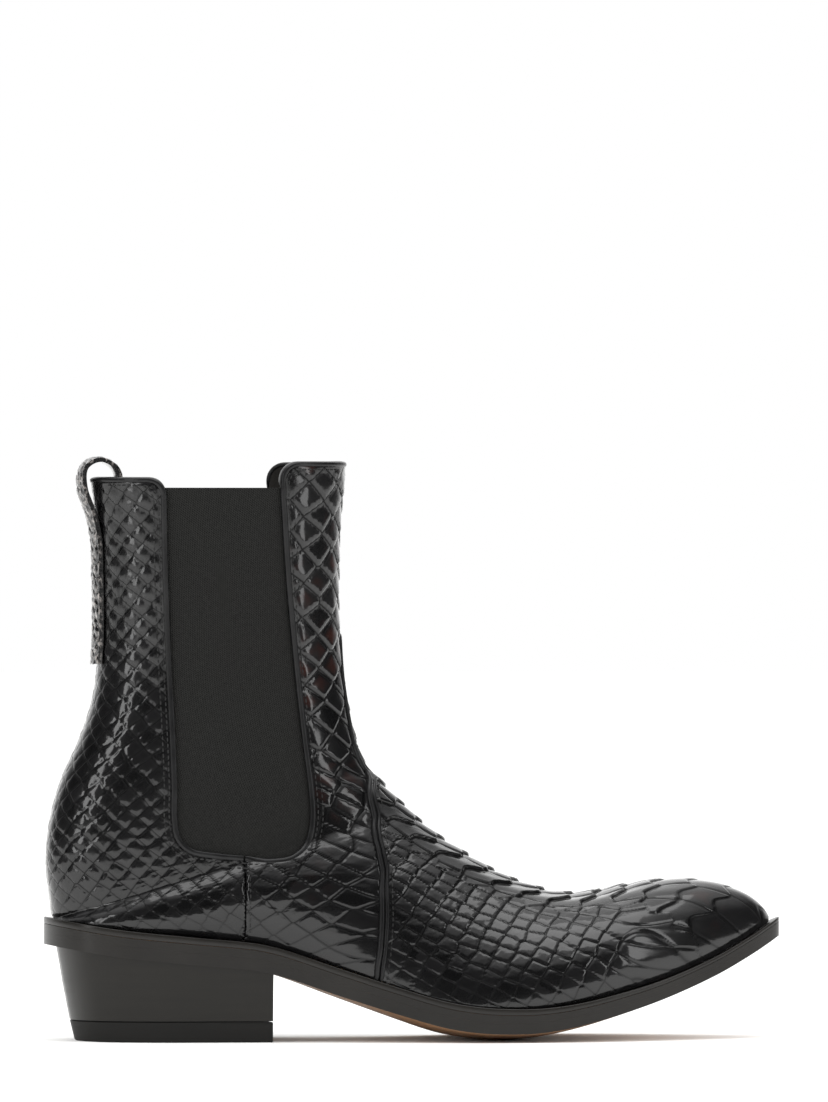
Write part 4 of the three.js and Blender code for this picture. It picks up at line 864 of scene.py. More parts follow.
def cut(outline, step):
    """(u, v) of a panel's points, its triangles, and each point's distance from its edge."""
    line = walk(np.vstack([outline, outline[:1]]) * PATTERN, step)[:-1]
    near = kdtree.KDTree(len(line))
    for i, (x, y) in enumerate(line):
        near.insert((x, y, 0), i)
    near.balance()
    grid = [p for p in inside_rows(line, step) if near.find((p[0], p[1], 0))[2] > 0.6 * step]
    corners = [Vector(p) for p in line] + [Vector(p) for p in grid]
    points, _, faces, *_ = delaunay_2d_cdt(corners, [], [list(range(len(line)))], 1, 1e-5, False)
    points, faces = np.array([tuple(p) for p in points]), np.array(faces)
    faces = faces[within(points[faces].mean(axis=1), line)]
    room = np.array([near.find((*p, 0))[2] for p in points])
    return points / PATTERN, faces, room


def rim_of(faces):
    """The directed edges that only one triangle has."""
    edges = np.concatenate([faces[:, [0, 1]], faces[:, [1, 2]], faces[:, [2, 0]]])
    seen = {tuple(e) for e in edges.tolist()}
    return [e for e in seen if (e[1], e[0]) not in seen]


def panel(name, outline, finish, step, layers_of=None, depth=0.0, thickness=UPPER):
    """A panel of leather, wrapped depth under the skin, with its edge turned in by its thickness."""
    uv, faces, room = cut(outline, step)
    out = outward(*uv.T)
    points = skin(*uv.T) - out * depth
    a, b, c = (points[faces[:, k]] for k in range(3))
    if (np.cross(b - a, c - a) * out[faces[:, 0]]).sum() < 0:
        faces = faces[:, ::-1]
    layers = layers_of(uv[:, 0], uv[:, 1], points, room) if layers_of else {}
    rim = rim_of(faces)
    edge = sorted({i for pair in rim for i in pair})
    inner = {i: len(points) + k for k, i in enumerate(edge)}
    turned = points[edge] - out[edge] * thickness
    sides = [(b, a, inner[a], inner[b]) for a, b in rim]
    layers = {key: np.concatenate([value, value[edge]]) for key, value in layers.items()}
    return piece_of(name, np.vstack([points, turned]), faces.tolist() + sides, finish, layers)


# %% [markdown]
# ## Where each scale lies
# On the hide the scales change from place to place: wide belly plates down the ridge, squares on the sides, and small
# diamonds at the back. Each panel gives its points a place in a lattice whose cells are one scale each.


# %% Lattices
def turned_lattice(x, y, pitch, angle):
    c, s = math.cos(angle), math.sin(angle)
    return (x * c - y * s) / pitch, (x * s + y * c) / pitch


def scale_layers(a, b, end, lift, overlap, warmth, calm):
    """The attributes that the relief and the finish read."""
    count = len(a)
    full = lambda value: np.broadcast_to(value, (count,))
    ends = np.stack([full(end[0]), full(end[1]), np.zeros(count)], axis=1)
    return {
        "scale_cell": np.stack([a, b, np.zeros(count)], axis=1),
        "free_end": ends,
        "lift": full(lift) * MM,
        "overlap": full(overlap) * MM,
        # how much painted red-brown glint, a painted reflection, the finish mixes into the colour
        "warmth": full(warmth),
        "calm": full(calm),
    }


def seam_fade(room):
    """0 along a seam, 1 past the row of stitches."""
    return smooth(room, 0.6, 3.4)


def above_sole(points):
    """0 at the sole's edge, where the last presses the leather flat, 1 higher up."""
    return smooth(points[:, 2] - welt_top(points[:, 0]), 3, 19)


def from_back(points):
    """How far a point lies from the back seam at its own height."""
    z = np.clip(points[:, 2], BACK[V_TABLE < V_RIM, 1].min(), None)
    order = np.argsort(BACK[V_TABLE < V_RIM, 1])
    seam_x = np.interp(z, BACK[V_TABLE < V_RIM, 1][order], BACK[V_TABLE < V_RIM, 0][order])
    return np.hypot(points[:, 0] - seam_x, points[:, 1] - HEEL_AXIS)


def from_ridge(points):
    """How far a point lies from the ridge at its own height, or low down from the vamp's seam."""
    shaft = FRONT[V_TABLE < V_RIM]
    order = np.argsort(shaft[:, 1])
    ridge_x = np.minimum(np.interp(points[:, 2], shaft[order, 1], shaft[order, 0]), float(lengthwise(-13)))
    return np.hypot(points[:, 0] - ridge_x, points[:, 1] - HEEL_AXIS)


def back_scales(u, v, points, room):
    a, b = turned_lattice(from_back(points), points[:, 2], 5.9, math.radians(40))
    stand = seam_fade(room) * mix(0.35, 1, above_sole(points))
    calm = 1 - above_sole(points) * 0.9
    return scale_layers(a, b, (-0.35, -0.75), 0.34 * stand, 0.3 * stand, 0, calm)


def front_scales(u, v, points, room):
    side, down = from_ridge(points), FRONT_TOP - points[:, 2]
    low = smooth(down, 118, 160)
    wide = side / mix(14.6, 10.0, low)
    long = np.interp(down, (0, 118, 160, 230), (0, 8.6, 12.2, 19.4))
    a, b = (np.sign(u) * wide + long), (-np.sign(u) * wide + long)
    big = (1 - smooth(side, 24, 50)) * (1 - low)
    stand = seam_fade(room) * mix(0.2, 1, above_sole(points))
    calm = (1 - above_sole(points)) * 0.95
    lift = mix(0.4, 0.55, big) * stand
    return scale_layers(a, b, (0.5, 0.5), lift, mix(0.45, 1.2, big) * stand, mix(0.1, 1.0, big), calm)


def vamp_scales(u, v, points, room):
    run = on_grid(ROUND_RUN, u, v)
    ridge = at_v(FRONT, v)
    along = on_grid(ALONG_RUN, np.zeros_like(u), v)
    start = on_grid(ALONG_RUN, np.zeros(1), np.array([on_ridge(110)]))[0]
    toe = smooth(points[:, 0], 78, 128)
    chevron = np.sqrt(run**2 + 144) - 12
    row = np.interp(along + 0.5 * chevron - start, (-80, 0, 120, 175, 215), (-7, 0, 10.4, 14.2, 16.2))
    plate = np.sign(u) * np.interp(run, (0, 60), (0, 4.6)) + 0.5
    belly = run < mix(27, 46, toe) + 2.5 * np.sin(row * 2 * math.pi)
    pitch = mix(7.2, 11.0, toe)
    a, b = turned_lattice(points[:, 0], run - ridge[:, 1], 1.0, math.radians(-24))
    a, b = a / pitch, b / pitch
    a, b = np.where(belly, plate + 40, a), np.where(belly, row + 0.13 * np.cos(2 * math.pi * plate), b)
    ends = (np.where(belly, 0.0, 0.65), np.where(belly, 1.0, 0.35))
    stand = seam_fade(room) * mix(0.15, 1, above_sole(points)) * (1 - 0.72 * toe)
    calm = np.maximum((1 - above_sole(points)) * 0.9, 0.55 * toe)
    lift = np.where(belly, 0.35, 0.5) * stand
    overlap = np.where(belly, 1.4, 0.45) * stand
    return scale_layers(a, b, ends, lift, overlap, 0.5 * toe, calm)


# %% [markdown]
# ## The upper
# The vamp covers the forefoot and ends above in a narrow tongue. The front panel runs on both sides of it, from the
# topline down to the sole. The two back quarters meet at the back seam.

# %% Outlines of the upper's panels
FREE_EDGE = BINDING_WIDTH * 0.6  # the panels run this far from the opening's edge, under the binding


def back_outline(grow, drop, gap):
    side = on_pattern(np.vstack([seam_line(SEAM_X - gap), back_edge_line(grow, drop)]))
    foot = feather_v(SEAM_X - gap)
    return np.vstack([[(-1, V_RIM), (-MARGIN_U, V_RIM), (-MARGIN_U, foot), (-1, foot)], side,
                      [(-1, on_back(BACK_TOP - drop))]])


def front_outline(grow, drop, gap, shift):
    side = on_pattern(np.vstack([seam_line(SEAM_X + gap), front_edge_line(grow, drop)]))
    foot = feather_v(SEAM_X + gap)
    half = np.vstack([[(-MARGIN_U, foot), (-1, foot)], side, [(0, on_ridge(FRONT_TOP - drop))]])
    seam = vamp_seam(shift)
    seam = np.vstack([seam, [(-MARGIN_U, seam[-1, 1])]])
    return np.vstack([half, across(half)[1:], across(seam), seam[1:-1]])


def vamp_outline(shift):
    seam = vamp_seam(shift)
    half = np.vstack([seam, [(-MARGIN_U, seam[-1, 1]), (-MARGIN_U, 0.985), (-1.0, 1.0), (-0.5, 1.0)]])
    return np.vstack([half, [(0, 1.0)], across(half)[:-1]])


STEP = 1.05

# %% Vamp, front panel and back quarters
leather_pieces = [
    ("vamp_leather", vamp_outline(0.9), vamp_scales, "vamp"),
    ("front_panel_leather", front_outline(FREE_EDGE, FREE_EDGE, 0.25, -0.6), front_scales, "front_panel"),
    ("back_quarter_leather_lateral", back_outline(FREE_EDGE, FREE_EDGE, 0.25), back_scales, "back_quarter_lateral"),
]
medial = back_outline(FREE_EDGE, FREE_EDGE, 0.25) * (-1, 1)
leather_pieces.append(("back_quarter_leather_medial", medial, back_scales, "back_quarter_medial"))
for name, outline, scales, node in leather_pieces:
    piece = panel(name, outline, SCALES, STEP, scales)
    values = {"Finish": SCALES, "Irregularity": 0.22, "Groove Width": 0.1, "Roughness": 0.14, "Seed": 7}
    piece = grown(piece, RELIEF, values)
    settle(piece, [node])

# %% [markdown]
# ## Elastic gores
# A gore is a strip of ribbed elastic, cut wider than its opening and stitched under the leather. Its top edge is a
# woven selvedge, which needs no hem.


# %% Gores
def gore_outline(grow):
    edge = opening_edge(grow)
    low = edge[edge[:, 1] < GORE_TOP - 1]
    ends = np.array([(low[-1, 0], GORE_TOP), (low[0, 0], GORE_TOP)])
    return on_pattern(np.vstack([low, walk(ends, 2.0)]))


def gore_layers(u, v, points, room):
    return {"weave": np.stack([on_grid(ROUND_RUN, u, v), on_grid(ALONG_RUN, u, v), np.zeros(len(u))], axis=1)}


for name, side in (("lateral", 1), ("medial", -1)):
    outline = gore_outline(5.0) * (side, 1)
    webbing = panel(f"gore_webbing_{name}", outline, WEBBING, 1.6, gore_layers, UPPER, STIFFENER)
    settle(webbing, [f"gore_{name}"])

# %% [markdown]
# ## Beads, cords and bands
# A folded edge, a piping cord and a welt's rim are all one outline carried along a line. A sweep takes the line, the
# direction that faces out at each point, and the outline in those two directions.


# %% Sweeping an outline along a line
def sweep(name, line, out, outline, finish):
    """outline is (across, out) in millimetres, one for all points or one for each. Ends are closed by a fan."""
    line, out = np.asarray(line, float), unit(np.asarray(out, float))
    ahead = unit(np.gradient(line, axis=0))
    out = unit(out - (out * ahead).sum(axis=1)[:, None] * ahead)
    across = np.cross(out, ahead)
    outline = np.asarray(outline, float)
    if outline.ndim == 2:
        outline = np.broadcast_to(outline, (len(line), *outline.shape))
    rings = line[:, None] + outline[..., :1] * across[:, None] + outline[..., 1:] * out[:, None]
    count, sides = rings.shape[:2]
    points = np.vstack([rings.reshape(-1, 3), rings[[0, -1]].mean(axis=1)])
    first, last = count * sides, count * sides + 1
    faces = []
    for k in range(sides):
        m = (k + 1) % sides
        faces += [(i * sides + k, i * sides + m, (i + 1) * sides + m, (i + 1) * sides + k) for i in range(count - 1)]
        faces += [(first, m, k), (last, (count - 1) * sides + k, (count - 1) * sides + m)]
    return facing_out(piece_of(name, points, faces, finish))


def facing_out(piece):
    """Merges doubles and turns a closed shell's faces outwards."""
    shape = bmesh.new()
    shape.from_mesh(piece.data)
    bmesh.ops.remove_doubles(shape, verts=shape.verts, dist=1e-7)
    bmesh.ops.recalc_face_normals(shape, faces=shape.faces)
    shape.to_mesh(piece.data)
    shape.free()
    piece.data.set_sharp_from_angle(angle=math.radians(38))
    return piece


def rounded(half_width, low, high, power=2.6, sides=16):
    """A superellipse in (across, out)."""
    angles = np.linspace(0, 2 * math.pi, sides, endpoint=False)
    c, s = np.cos(angles), np.sin(angles)
    x = half_width * np.sign(c) * np.abs(c) ** (2 / power)
    y = np.sign(s) * np.abs(s) ** (2 / power)
    return np.stack([x, mix(low, high, (y + 1) / 2)], axis=1)


def both_sides(half):
    """A (u, v) line from the lateral side to the middle, carried on over the medial side."""
    return np.vstack([half, across(half)[1:]])


# %% [markdown]
# ## Bindings and piping
# The gore's opening and the topline are finished with a narrow folded edge. At the topline it folds over the lining
# too, so there it is deeper. In the vamp seam lie two ridges: a piping cord, and the folded edge of the vamp.

# %% Edge bindings
def even_line(line_uv):
    """An even walk along a line of (u, v): its (u, v), its points and the directions that face out."""
    uv = np.array(line_uv)
    line = skin(*uv.T)
    steps = np.r_[0, np.cumsum(np.linalg.norm(np.diff(line, axis=0), axis=1))]
    even = np.linspace(0, steps[-1], int(steps[-1] / 0.9))
    uv = np.stack([np.interp(even, steps, column) for column in uv.T], axis=1)
    return uv, skin(*uv.T), outward(*uv.T)


def binding(name, line_uv, node):
    """A folded edge. Above the gore it reaches in over the lining."""
    _, line, out = even_line(line_uv)
    over = smooth(line[:, 2], GORE_TOP - 1, GORE_TOP + 3)
    profiles = [rounded(1.25, mix(-UPPER, -INSIDE_DEPTH, t), 0.42) for t in over]
    settle(sweep(name, line, out, np.array(profiles), BINDING), [node])


half = BINDING_WIDTH / 2 + 0.1
front_half = np.vstack([on_pattern(front_edge_line(half, half)), [(0, on_ridge(FRONT_TOP - half))]])
binding("front_binding_bead", both_sides(front_half), "front_edge_binding")
back_half = np.vstack([on_pattern(back_edge_line(half, half)), [(-1, on_back(BACK_TOP - half))]])
for name, side in (("lateral", 1), ("medial", -1)):
    binding(f"back_binding_bead_{name}", back_half * (side, 1), "back_edge_binding")

# %% Piping cord and the vamp's folded edge
for name, shift, radius, depth in (("piping_cord", -0.15, PIPING_RADIUS, 0.1), ("vamp_folded_edge", 1.95, 0.95, 0.5)):
    _, line, out = even_line(both_sides(vamp_seam(shift)[::-1]))
    bead = sweep(name, line - out * depth * 0.6, out, rounded(radius, -radius, radius, 2.0), BINDING)
    settle(bead, ["vamp_piping"])

# %% [markdown]
# ## Stitches
# Rows of waxed thread hold the edges. A Geometry Nodes tree walks a line, and lays one small stitch along it at each
# step, so that a row's pitch and thickness are two numbers.


# %% The StitchRow tree
def stitch_row():
    tree = bpy.data.node_groups.new("StitchRow", "GeometryNodeTree")
    face = tree.interface
    face.new_socket("Geometry", in_out="INPUT", socket_type="NodeSocketGeometry")
    for name, value in (("Pitch", 0.0024), ("Length", 0.0018), ("Thickness", 0.0007)):
        face.new_socket(name, in_out="INPUT", socket_type="NodeSocketFloat").default_value = value
    face.new_socket("Finish", in_out="INPUT", socket_type="NodeSocketMaterial")
    face.new_socket("Geometry", in_out="OUTPUT", socket_type="NodeSocketGeometry")
    bench = Bench(tree)
    given = tree.nodes.new("NodeGroupInput")
    pitch, length, thickness = (Term(bench, given.outputs[n]) for n in ("Pitch", "Length", "Thickness"))
    curve = bench.node("GeometryNodeMeshToCurve", None, {"Mesh": Term(bench, given.outputs["Geometry"])})
    walked = tree.nodes.new("GeometryNodeCurveToPoints")
    walked.mode = "LENGTH"
    tree.links.new(curve.socket, walked.inputs["Curve"])
    tree.links.new(pitch.socket, walked.inputs["Length"])
    stitch = bench.node("GeometryNodeMeshUVSphere", None, {"Segments": 8, "Rings": 5, "Radius": 0.5})
    size = bench.node("ShaderNodeCombineXYZ", None, {"X": thickness, "Y": thickness, "Z": length})
    laid = bench.node("GeometryNodeInstanceOnPoints", None, {
        "Points": Term(bench, walked.outputs["Points"]),
        "Instance": stitch,
        "Rotation": Term(bench, walked.outputs["Rotation"]),
        "Scale": size,
    })
    real = bench.node("GeometryNodeRealizeInstances", None, {"Geometry": laid})
    painted = bench.node(
        "GeometryNodeSetMaterial", None, {"Geometry": real, "Material": Term(bench, given.outputs["Finish"])}
    )
    out = tree.nodes.new("NodeGroupOutput")
    tree.links.new(painted.socket, out.inputs["Geometry"])
    return tree


STITCHES = stitch_row()


def stitches(name, uv, lift=0.12):
    """A row of stitches along a line of (u, v)."""
    _, line, out = even_line(uv)
    line = (line + out * lift) * MM
    mesh = bpy.data.meshes.new(name)
    mesh.from_pydata(line.tolist(), [(i, i + 1) for i in range(len(line) - 1)], [])
    row = grown(placed_object(name, mesh), STITCHES, {"Finish": THREAD})
    row.data.shade_smooth()
    settle(row, [])


# %% Rows of stitches
for side_name, side in (("lateral", 1), ("medial", -1)):
    for row, grow in (("inner", 2.9), ("outer", 4.9)):
        stitches(f"front_edge_stitches_{side_name}_{row}", on_pattern(front_edge_line(grow, 2.9)) * (side, 1))
        stitches(f"back_edge_stitches_{side_name}_{row}", on_pattern(back_edge_line(grow, 2.9)) * (side, 1))
    stitches(f"quarter_seam_stitches_{side_name}", on_pattern(seam_line(SEAM_X + 1.9)[1:]) * (side, 1))
stitches("vamp_seam_stitches", both_sides(vamp_seam(4.3)[::-1]))

# %% [markdown]
# ## The pull loop
# A strap of the same leather is stitched down the back seam, bows off over the topline, and goes back down inside. Its
# cut edges are raw and a little frayed.


# %% The pull loop
TAB_WIDTH, TAB_THICKNESS, TAB_RISE, TAB_BOW, TAB_TAIL = 20, 1.8, 8.5, 12.5, 76


def back_x(z):
    return float(at_v(BACK, on_back(z))[0])


def tab_path():
    outside, inside = CLEARANCE + 0.3 + TAB_THICKNESS / 2, INSIDE_DEPTH + TAB_THICKNESS / 2 + 0.2
    crest = BACK_TOP + TAB_RISE - TAB_THICKNESS / 2
    at = back_x(BACK_TOP)
    leg = lambda z, off: (back_x(z) + off, z)
    corners = [leg(z, -outside) for z in np.linspace(BACK_TOP - TAB_TAIL, BACK_TOP - 27, 5)]
    corners += [leg(BACK_TOP - 16, -outside - 1.2), leg(BACK_TOP - 4, -outside - 3.4)]
    corners += [(at - TAB_BOW / 4, BACK_TOP + 4.6), (at + TAB_BOW / 4, crest), (at + TAB_BOW * 0.78, BACK_TOP + 3.4)]
    corners += [leg(BACK_TOP - 7, inside + 3.4), leg(BACK_TOP - 16, inside + 0.6), leg(BACK_TOP - 27, inside)]
    return walk(spline(corners, np.linspace(0, 1, 600)), 0.7)


path = tab_path()
ahead = unit(np.gradient(path, axis=0))
count, width = len(path), 29
share = np.linspace(-1, 1, width)
y = share * TAB_WIDTH / 2
crest = BACK_TOP + TAB_RISE
shaft_z = np.minimum(path[:, 1], BACK_TOP)
half_width = np.array([at_v(BULGE, on_back(z)) for z in shaft_z])
curl = half_width[:, None] ** 2 / 62 * (1 - np.sqrt(1 - (y[None] / half_width[:, None]) ** 2)) * 2.1
loosened = 1 - 0.7 * smooth(path[:, 1], BACK_TOP - 12, crest)
bend = curl * loosened[:, None]


def tab_face(offset):
    return np.stack([
        path[:, :1] - ahead[:, 1:] * offset + bend,
        np.broadcast_to(HEEL_AXIS + y, (count, width)),
        np.broadcast_to(path[:, 1:] + ahead[:, :1] * offset, (count, width)),
    ], axis=-1)


faces_of = lambda n, m, start: [
    (start + i * m + k, start + i * m + k + 1, start + (i + 1) * m + k + 1, start + (i + 1) * m + k)
    for i in range(n - 1) for k in range(m - 1)
]
outer, inner = tab_face(TAB_THICKNESS / 2), tab_face(-TAB_THICKNESS / 2)
points = np.vstack([outer.reshape(-1, 3), inner.reshape(-1, 3)])
faces = faces_of(count, width, 0) + [f[::-1] for f in faces_of(count, width, count * width)]
border = [i * width for i in range(count)] + [(count - 1) * width + k for k in range(1, width)]
border += [i * width + width - 1 for i in range(count - 2, -1, -1)] + list(range(width - 2, 0, -1))
shell = count * width
for a, b in zip(border, border[1:] + border[:1]):
    faces.append((a, b, b + shell, a + shell))
along = np.r_[0, np.cumsum(np.linalg.norm(np.diff(path, axis=0), axis=1))]
a, b = turned_lattice(np.tile(y, count), np.repeat(along, width), 5.0, math.radians(38))
flat_share = np.tile(1 - smooth(np.abs(share), 0.82, 1.0), count)
outer_only = np.r_[flat_share, 0 * flat_share]  # the strap's inner face is smooth
inner_face = np.repeat([0.0, 1.0], count * width)
tab_layers = scale_layers(
    np.tile(a, 2), np.tile(b, 2), (0.3, 0.8), 0.75 * outer_only, 0.8 * outer_only, 0.1 * outer_only, inner_face
)
loop = facing_out(piece_of("pull_loop_leather", points, faces, WORN_SCALES, tab_layers))
values = {"Finish": WORN_SCALES, "Irregularity": 0.4, "Groove Width": 0.2, "Roughness": 0.3, "Seed": 3}
loop = grown(loop, RELIEF, values)
settle(loop, ["pull_tab"])

# %% [markdown]
# ## Lining
# The shaft is lined with smooth black leather. It is seen through the topline, so it is one wrapped sheet for each
# lining panel, with a face on each side.


# %% Linings
def lining_panel(name, outline, node):
    uv, faces, _ = cut(outline, 4.0)
    out = outward(*uv.T)
    faces = faces.tolist()
    near_face, far_face = skin(*uv.T) - out * LINING_DEPTH, skin(*uv.T) - out * (LINING_DEPTH + LINING)
    count = len(uv)
    sides = [(a, b, b + count, a + count) for a, b in rim_of(np.array(faces))]
    whole = faces + [tuple(i + count for i in f[::-1]) for f in faces] + sides
    lining = facing_out(piece_of(name, np.vstack([near_face, far_face]), whole, LINING_SKIN))
    return settle(lining, node)


front_line = front_outline(FREE_EDGE, FREE_EDGE, 0.25, -0.6)
lining_panel("vamp_lining_leather", np.clip(vamp_outline(1.2), (-1, 0), (1, 0.96)), ["vamp_lining"])
lining_panel("front_lining_leather", np.clip(front_line, (-1, 0), (1, 1)), ["front_lining"])
back_line = np.clip(back_outline(FREE_EDGE, FREE_EDGE, 0.25), (-1, 0), (1, 1))
lining_panel("back_lining_leather_lateral", back_line, ["back_lining"])
lining_panel("back_lining_leather_medial", back_line * (-1, 1), ["back_lining"])

# %% [markdown]
# ## The sole
# Outsole, midsole and welt are plates that follow the last's spring from heel to toe. Their edges are trimmed flush and
# stained together, so they read as one dark strip, with a thin lighter line at the welt's top edge.


# %% Plates of the sole
def plate(name, inset, bottom, top, finish, nodes, slot_name, round_by=0.35, step=4.0, low=None, high=None):
    """A plate with its outline moved in by inset, and its edges rounded. bottom and top are heights at (x, y)."""
    rim = Plan(inset).points
    rim = rim[(rim[:, 0] > (low if low is not None else -1e9)) & (rim[:, 0] < (high if high is not None else 1e9))]
    middle = rim.mean(axis=0)
    ahead = unit(np.roll(rim, -1, axis=0) - np.roll(rim, 1, axis=0))
    left = np.stack([-ahead[:, 1], ahead[:, 0]], axis=1)
    if ((rim + left - middle) ** 2).sum() > ((rim - left - middle) ** 2).sum():
        left = -left
    shrink = lambda d: rim + left * d
    angles = np.linspace(0, math.pi / 2, 4)
    pulls = [(round_by * (1 - math.sin(a)), round_by * (1 - math.cos(a))) for a in angles]
    rings = [(shrink(inward), lambda b, t, up=up: b + up) for inward, up in pulls]
    rings += [(shrink(inward), lambda b, t, down=down: t - down) for down, inward in pulls]
    n = len(rim)
    points = []
    for ring, height in rings:
        b, t = bottom(*ring.T), top(*ring.T)
        points.append(np.column_stack([ring, height(np.broadcast_to(b, n), np.broadcast_to(t, n))]))
    points = np.vstack(points)
    faces = [(r * n + i, r * n + (i + 1) % n, (r + 1) * n + (i + 1) % n, (r + 1) * n + i)
             for r in range(len(rings) - 1) for i in range(n)]
    for first, level_at, way in ((0, bottom, -1), ((len(rings) - 1) * n, top, 1)):
        inner_ring = rings[0 if way < 0 else -1][0]
        near = kdtree.KDTree(n)
        for i, p in enumerate(inner_ring):
            near.insert((*p, 0), i)
        near.balance()
        grid = [p for p in inside_rows(inner_ring, step) if near.find((*p, 0))[2] > 0.6 * step]
        corners = [Vector(p) for p in inner_ring] + [Vector(p) for p in grid]
        found, _, cells, source, *_ = delaunay_2d_cdt(corners, [], [list(range(n))], 1, 1e-5, True)
        middles = np.array([np.mean([tuple(found[i]) for i in cell], axis=0) for cell in cells])
        cells = [cell for cell, kept in zip(cells, within(middles, inner_ring)) if kept]
        index = {}
        extra = []
        for k, (p, origin) in enumerate(zip(found, source)):
            if origin and origin[0] < n:
                index[k] = first + origin[0]
            else:
                index[k] = len(points) + len(extra)
                extra.append((p.x, p.y, float(np.asarray(level_at(p.x, p.y)))))
        if extra:
            points = np.vstack([points, extra])
        faces += [tuple(index[i] for i in (cell if way > 0 else cell[::-1])) for cell in cells]
    return settle(facing_out(piece_of(name, points, faces, finish)), nodes)


outsole_top = lambda x, y: sole_level(x, y, OUTSOLE * taper(x))
midsole_bottom = lambda x, y: outsole_top(x, y) + 0.02
INSOLE_BOARD, SOCK_LINER = 2.4, 1.2
midsole_top = lambda x, y: outsole_top(x, y) + CLEARANCE + MIDSOLE * taper(x)
welt_bottom = lambda x, y: midsole_top(x, y) + 0.02
insole_under = lambda x: welt_top(x) + CLEARANCE + INSIDE_DEPTH + 0.4
sock_under = lambda x: insole_under(x) + INSOLE_BOARD + CLEARANCE
plate("outsole_leather", 0.0, lambda x, y: sole_level(x, y, 0), outsole_top, SOLE, ["outsole"], "sole_leather", 0.0)
plate("midsole_leather", 0.0, midsole_bottom, midsole_top, SOLE, ["midsole"], "sole_leather", 0.0)
plate("welt_leather", 0.02, welt_bottom, lambda x, y: welt_top(x) + 0 * y, SOLE, ["welt"], "sole_leather", 0.45)
plate("sock_liner_leather", WELT_MARGIN + 9.3, lambda x, y: sock_under(x) + 0 * y,
      lambda x, y: sock_under(x) + SOCK_LINER + 0 * y,
      LINING_SKIN, ["sock_liner"], "lining_leather", 0.4, high=lengthwise(134))
pad = plate("heel_pad_leather", WELT_MARGIN + 11.5, lambda x, y: sock_under(x) + 1.5 + 0 * y,
            lambda x, y: sock_under(x) + 1.9 + 2.0 * smooth(x, lengthwise(-58), lengthwise(-80)) + 0 * y,
            LINING_SKIN, ["heel_pad"], "lining_leather", 0.4, high=lengthwise(-60))

# %% [markdown]
# ## The heel
# The heel is a stack of leather lifts on a rubber top piece, painted over. It leans in at the back and the sides on
# its way down, and its front is dished. Only the rubber shows a line.


# %% Heel layers
HEEL_LENGTH_TOP, HEEL_SIDE_RAKE, TOP_PIECE, HEEL_LIFT, HEEL_LIFTS = 91, 3.5, 8.4, 5.2, 3
BREAST_X = float(lengthwise(-153)) + HEEL_LENGTH_TOP + 0.5
heel_back = through([(0, 12.6), (9, 10.4), (27, 6.8), (40, 3.4)])
BEVEL_LENGTH, BEVEL_HEIGHT = 8, 3


def heel_outline(z):
    """The heel's outline in plan at height z, from the breast's medial corner round the back, and across the breast."""
    low = sole_plan.low + 0.4
    turn = np.linspace(0, 1, 60)
    x = mix(BREAST_X, low, np.sin(turn * math.pi / 2) ** 0.9)
    lateral, medial = sole_plan.edge(x, -1), sole_plan.edge(x, 1)
    middle = (lateral + medial) / 2
    narrow = 1 - (HEEL_SIDE_RAKE * (1 - min(max(z / 42, 0), 1)) + 0.8) / 35
    inward = heel_back(z) * (BREAST_X - x) / (BREAST_X - sole_plan.low)
    side = lambda edge: np.stack([x + inward, middle + (edge - middle) * narrow], axis=1)
    breast_share = np.linspace(-1, 1, 17)[1:-1]
    ends = side(lateral)[0], side(medial)[0]
    across_breast = np.stack([
        mix(ends[0][0], ends[1][0], (breast_share + 1) / 2) - 1.6 * (1 - breast_share**2),
        mix(ends[0][1], ends[1][1], (breast_share + 1) / 2),
    ], axis=1)
    return np.vstack([side(medial), side(lateral)[::-1][1:], across_breast])


def heel_layer(name, low, high, finish, nodes, bottom_of=None, top_of=None, round_by=0.3):
    """A layer as rings of the heel's outline, closed above and below by fans. Heights may vary over the layer."""
    levels = [(low, round_by, 0.0), (low, 0.0, round_by)]
    levels += [(low, 0.0, share * (high - low)) for share in np.linspace(0, 1, 8)[1:-1]]
    levels += [(high, 0.0, -round_by), (high, round_by, 0.0)]
    rings = []
    for base, pulled, shift in levels:
        z = base + shift
        ring = heel_outline(min(max(z, 0), 42))
        middle = ring.mean(axis=0)
        ring = ring + unit(middle - ring) * pulled
        share = (z - low) / (high - low)
        bottom = bottom_of(*ring.T) if bottom_of else np.full(len(ring), low)
        top = top_of(*ring.T) if top_of else np.full(len(ring), high)
        rings.append(np.column_stack([ring, mix(bottom, top, np.clip(share, 0, 1))]))
    n = len(rings[0])
    points = np.vstack(rings)
    faces = [(r * n + i, r * n + (i + 1) % n, (r + 1) * n + (i + 1) % n, (r + 1) * n + i)
             for r in range(len(rings) - 1) for i in range(n)]
    centres = [rings[0].mean(axis=0), rings[-1].mean(axis=0)]
    first = len(points)
    points = np.vstack([points, centres])
    faces += [(first, (i + 1) % n, i) for i in range(n)]
    last_ring = (len(rings) - 1) * n
    faces += [(first + 1, last_ring + i, last_ring + (i + 1) % n) for i in range(n)]
    return settle(facing_out(piece_of(name, points, faces, finish)), nodes)


def bevelled(x, y):
    past = (x - (-HALF + BEVEL_LENGTH + 2)) / -BEVEL_LENGTH
    return BEVEL_HEIGHT * np.clip(past, 0, 1.25) ** 1.6


heel_layer("top_piece_rubber", 0, TOP_PIECE, RUBBER, ["top_piece"], bevelled, None, 0.35)
z = TOP_PIECE + CLEARANCE
for lift in range(HEEL_LIFTS):
    heel_layer(f"heel_lift_leather_{lift + 1}", z, z + HEEL_LIFT, STACKED, [f"heel_lift_{lift + 1}"],
               round_by=0.0)
    z += HEEL_LIFT
heel_layer("heel_wedge_leather", z, float(underside(lengthwise(-120))) , STACKED, ["heel_wedge"],
           None, lambda x, y: sole_level(x, y, 0) - 0.02, 0.0)

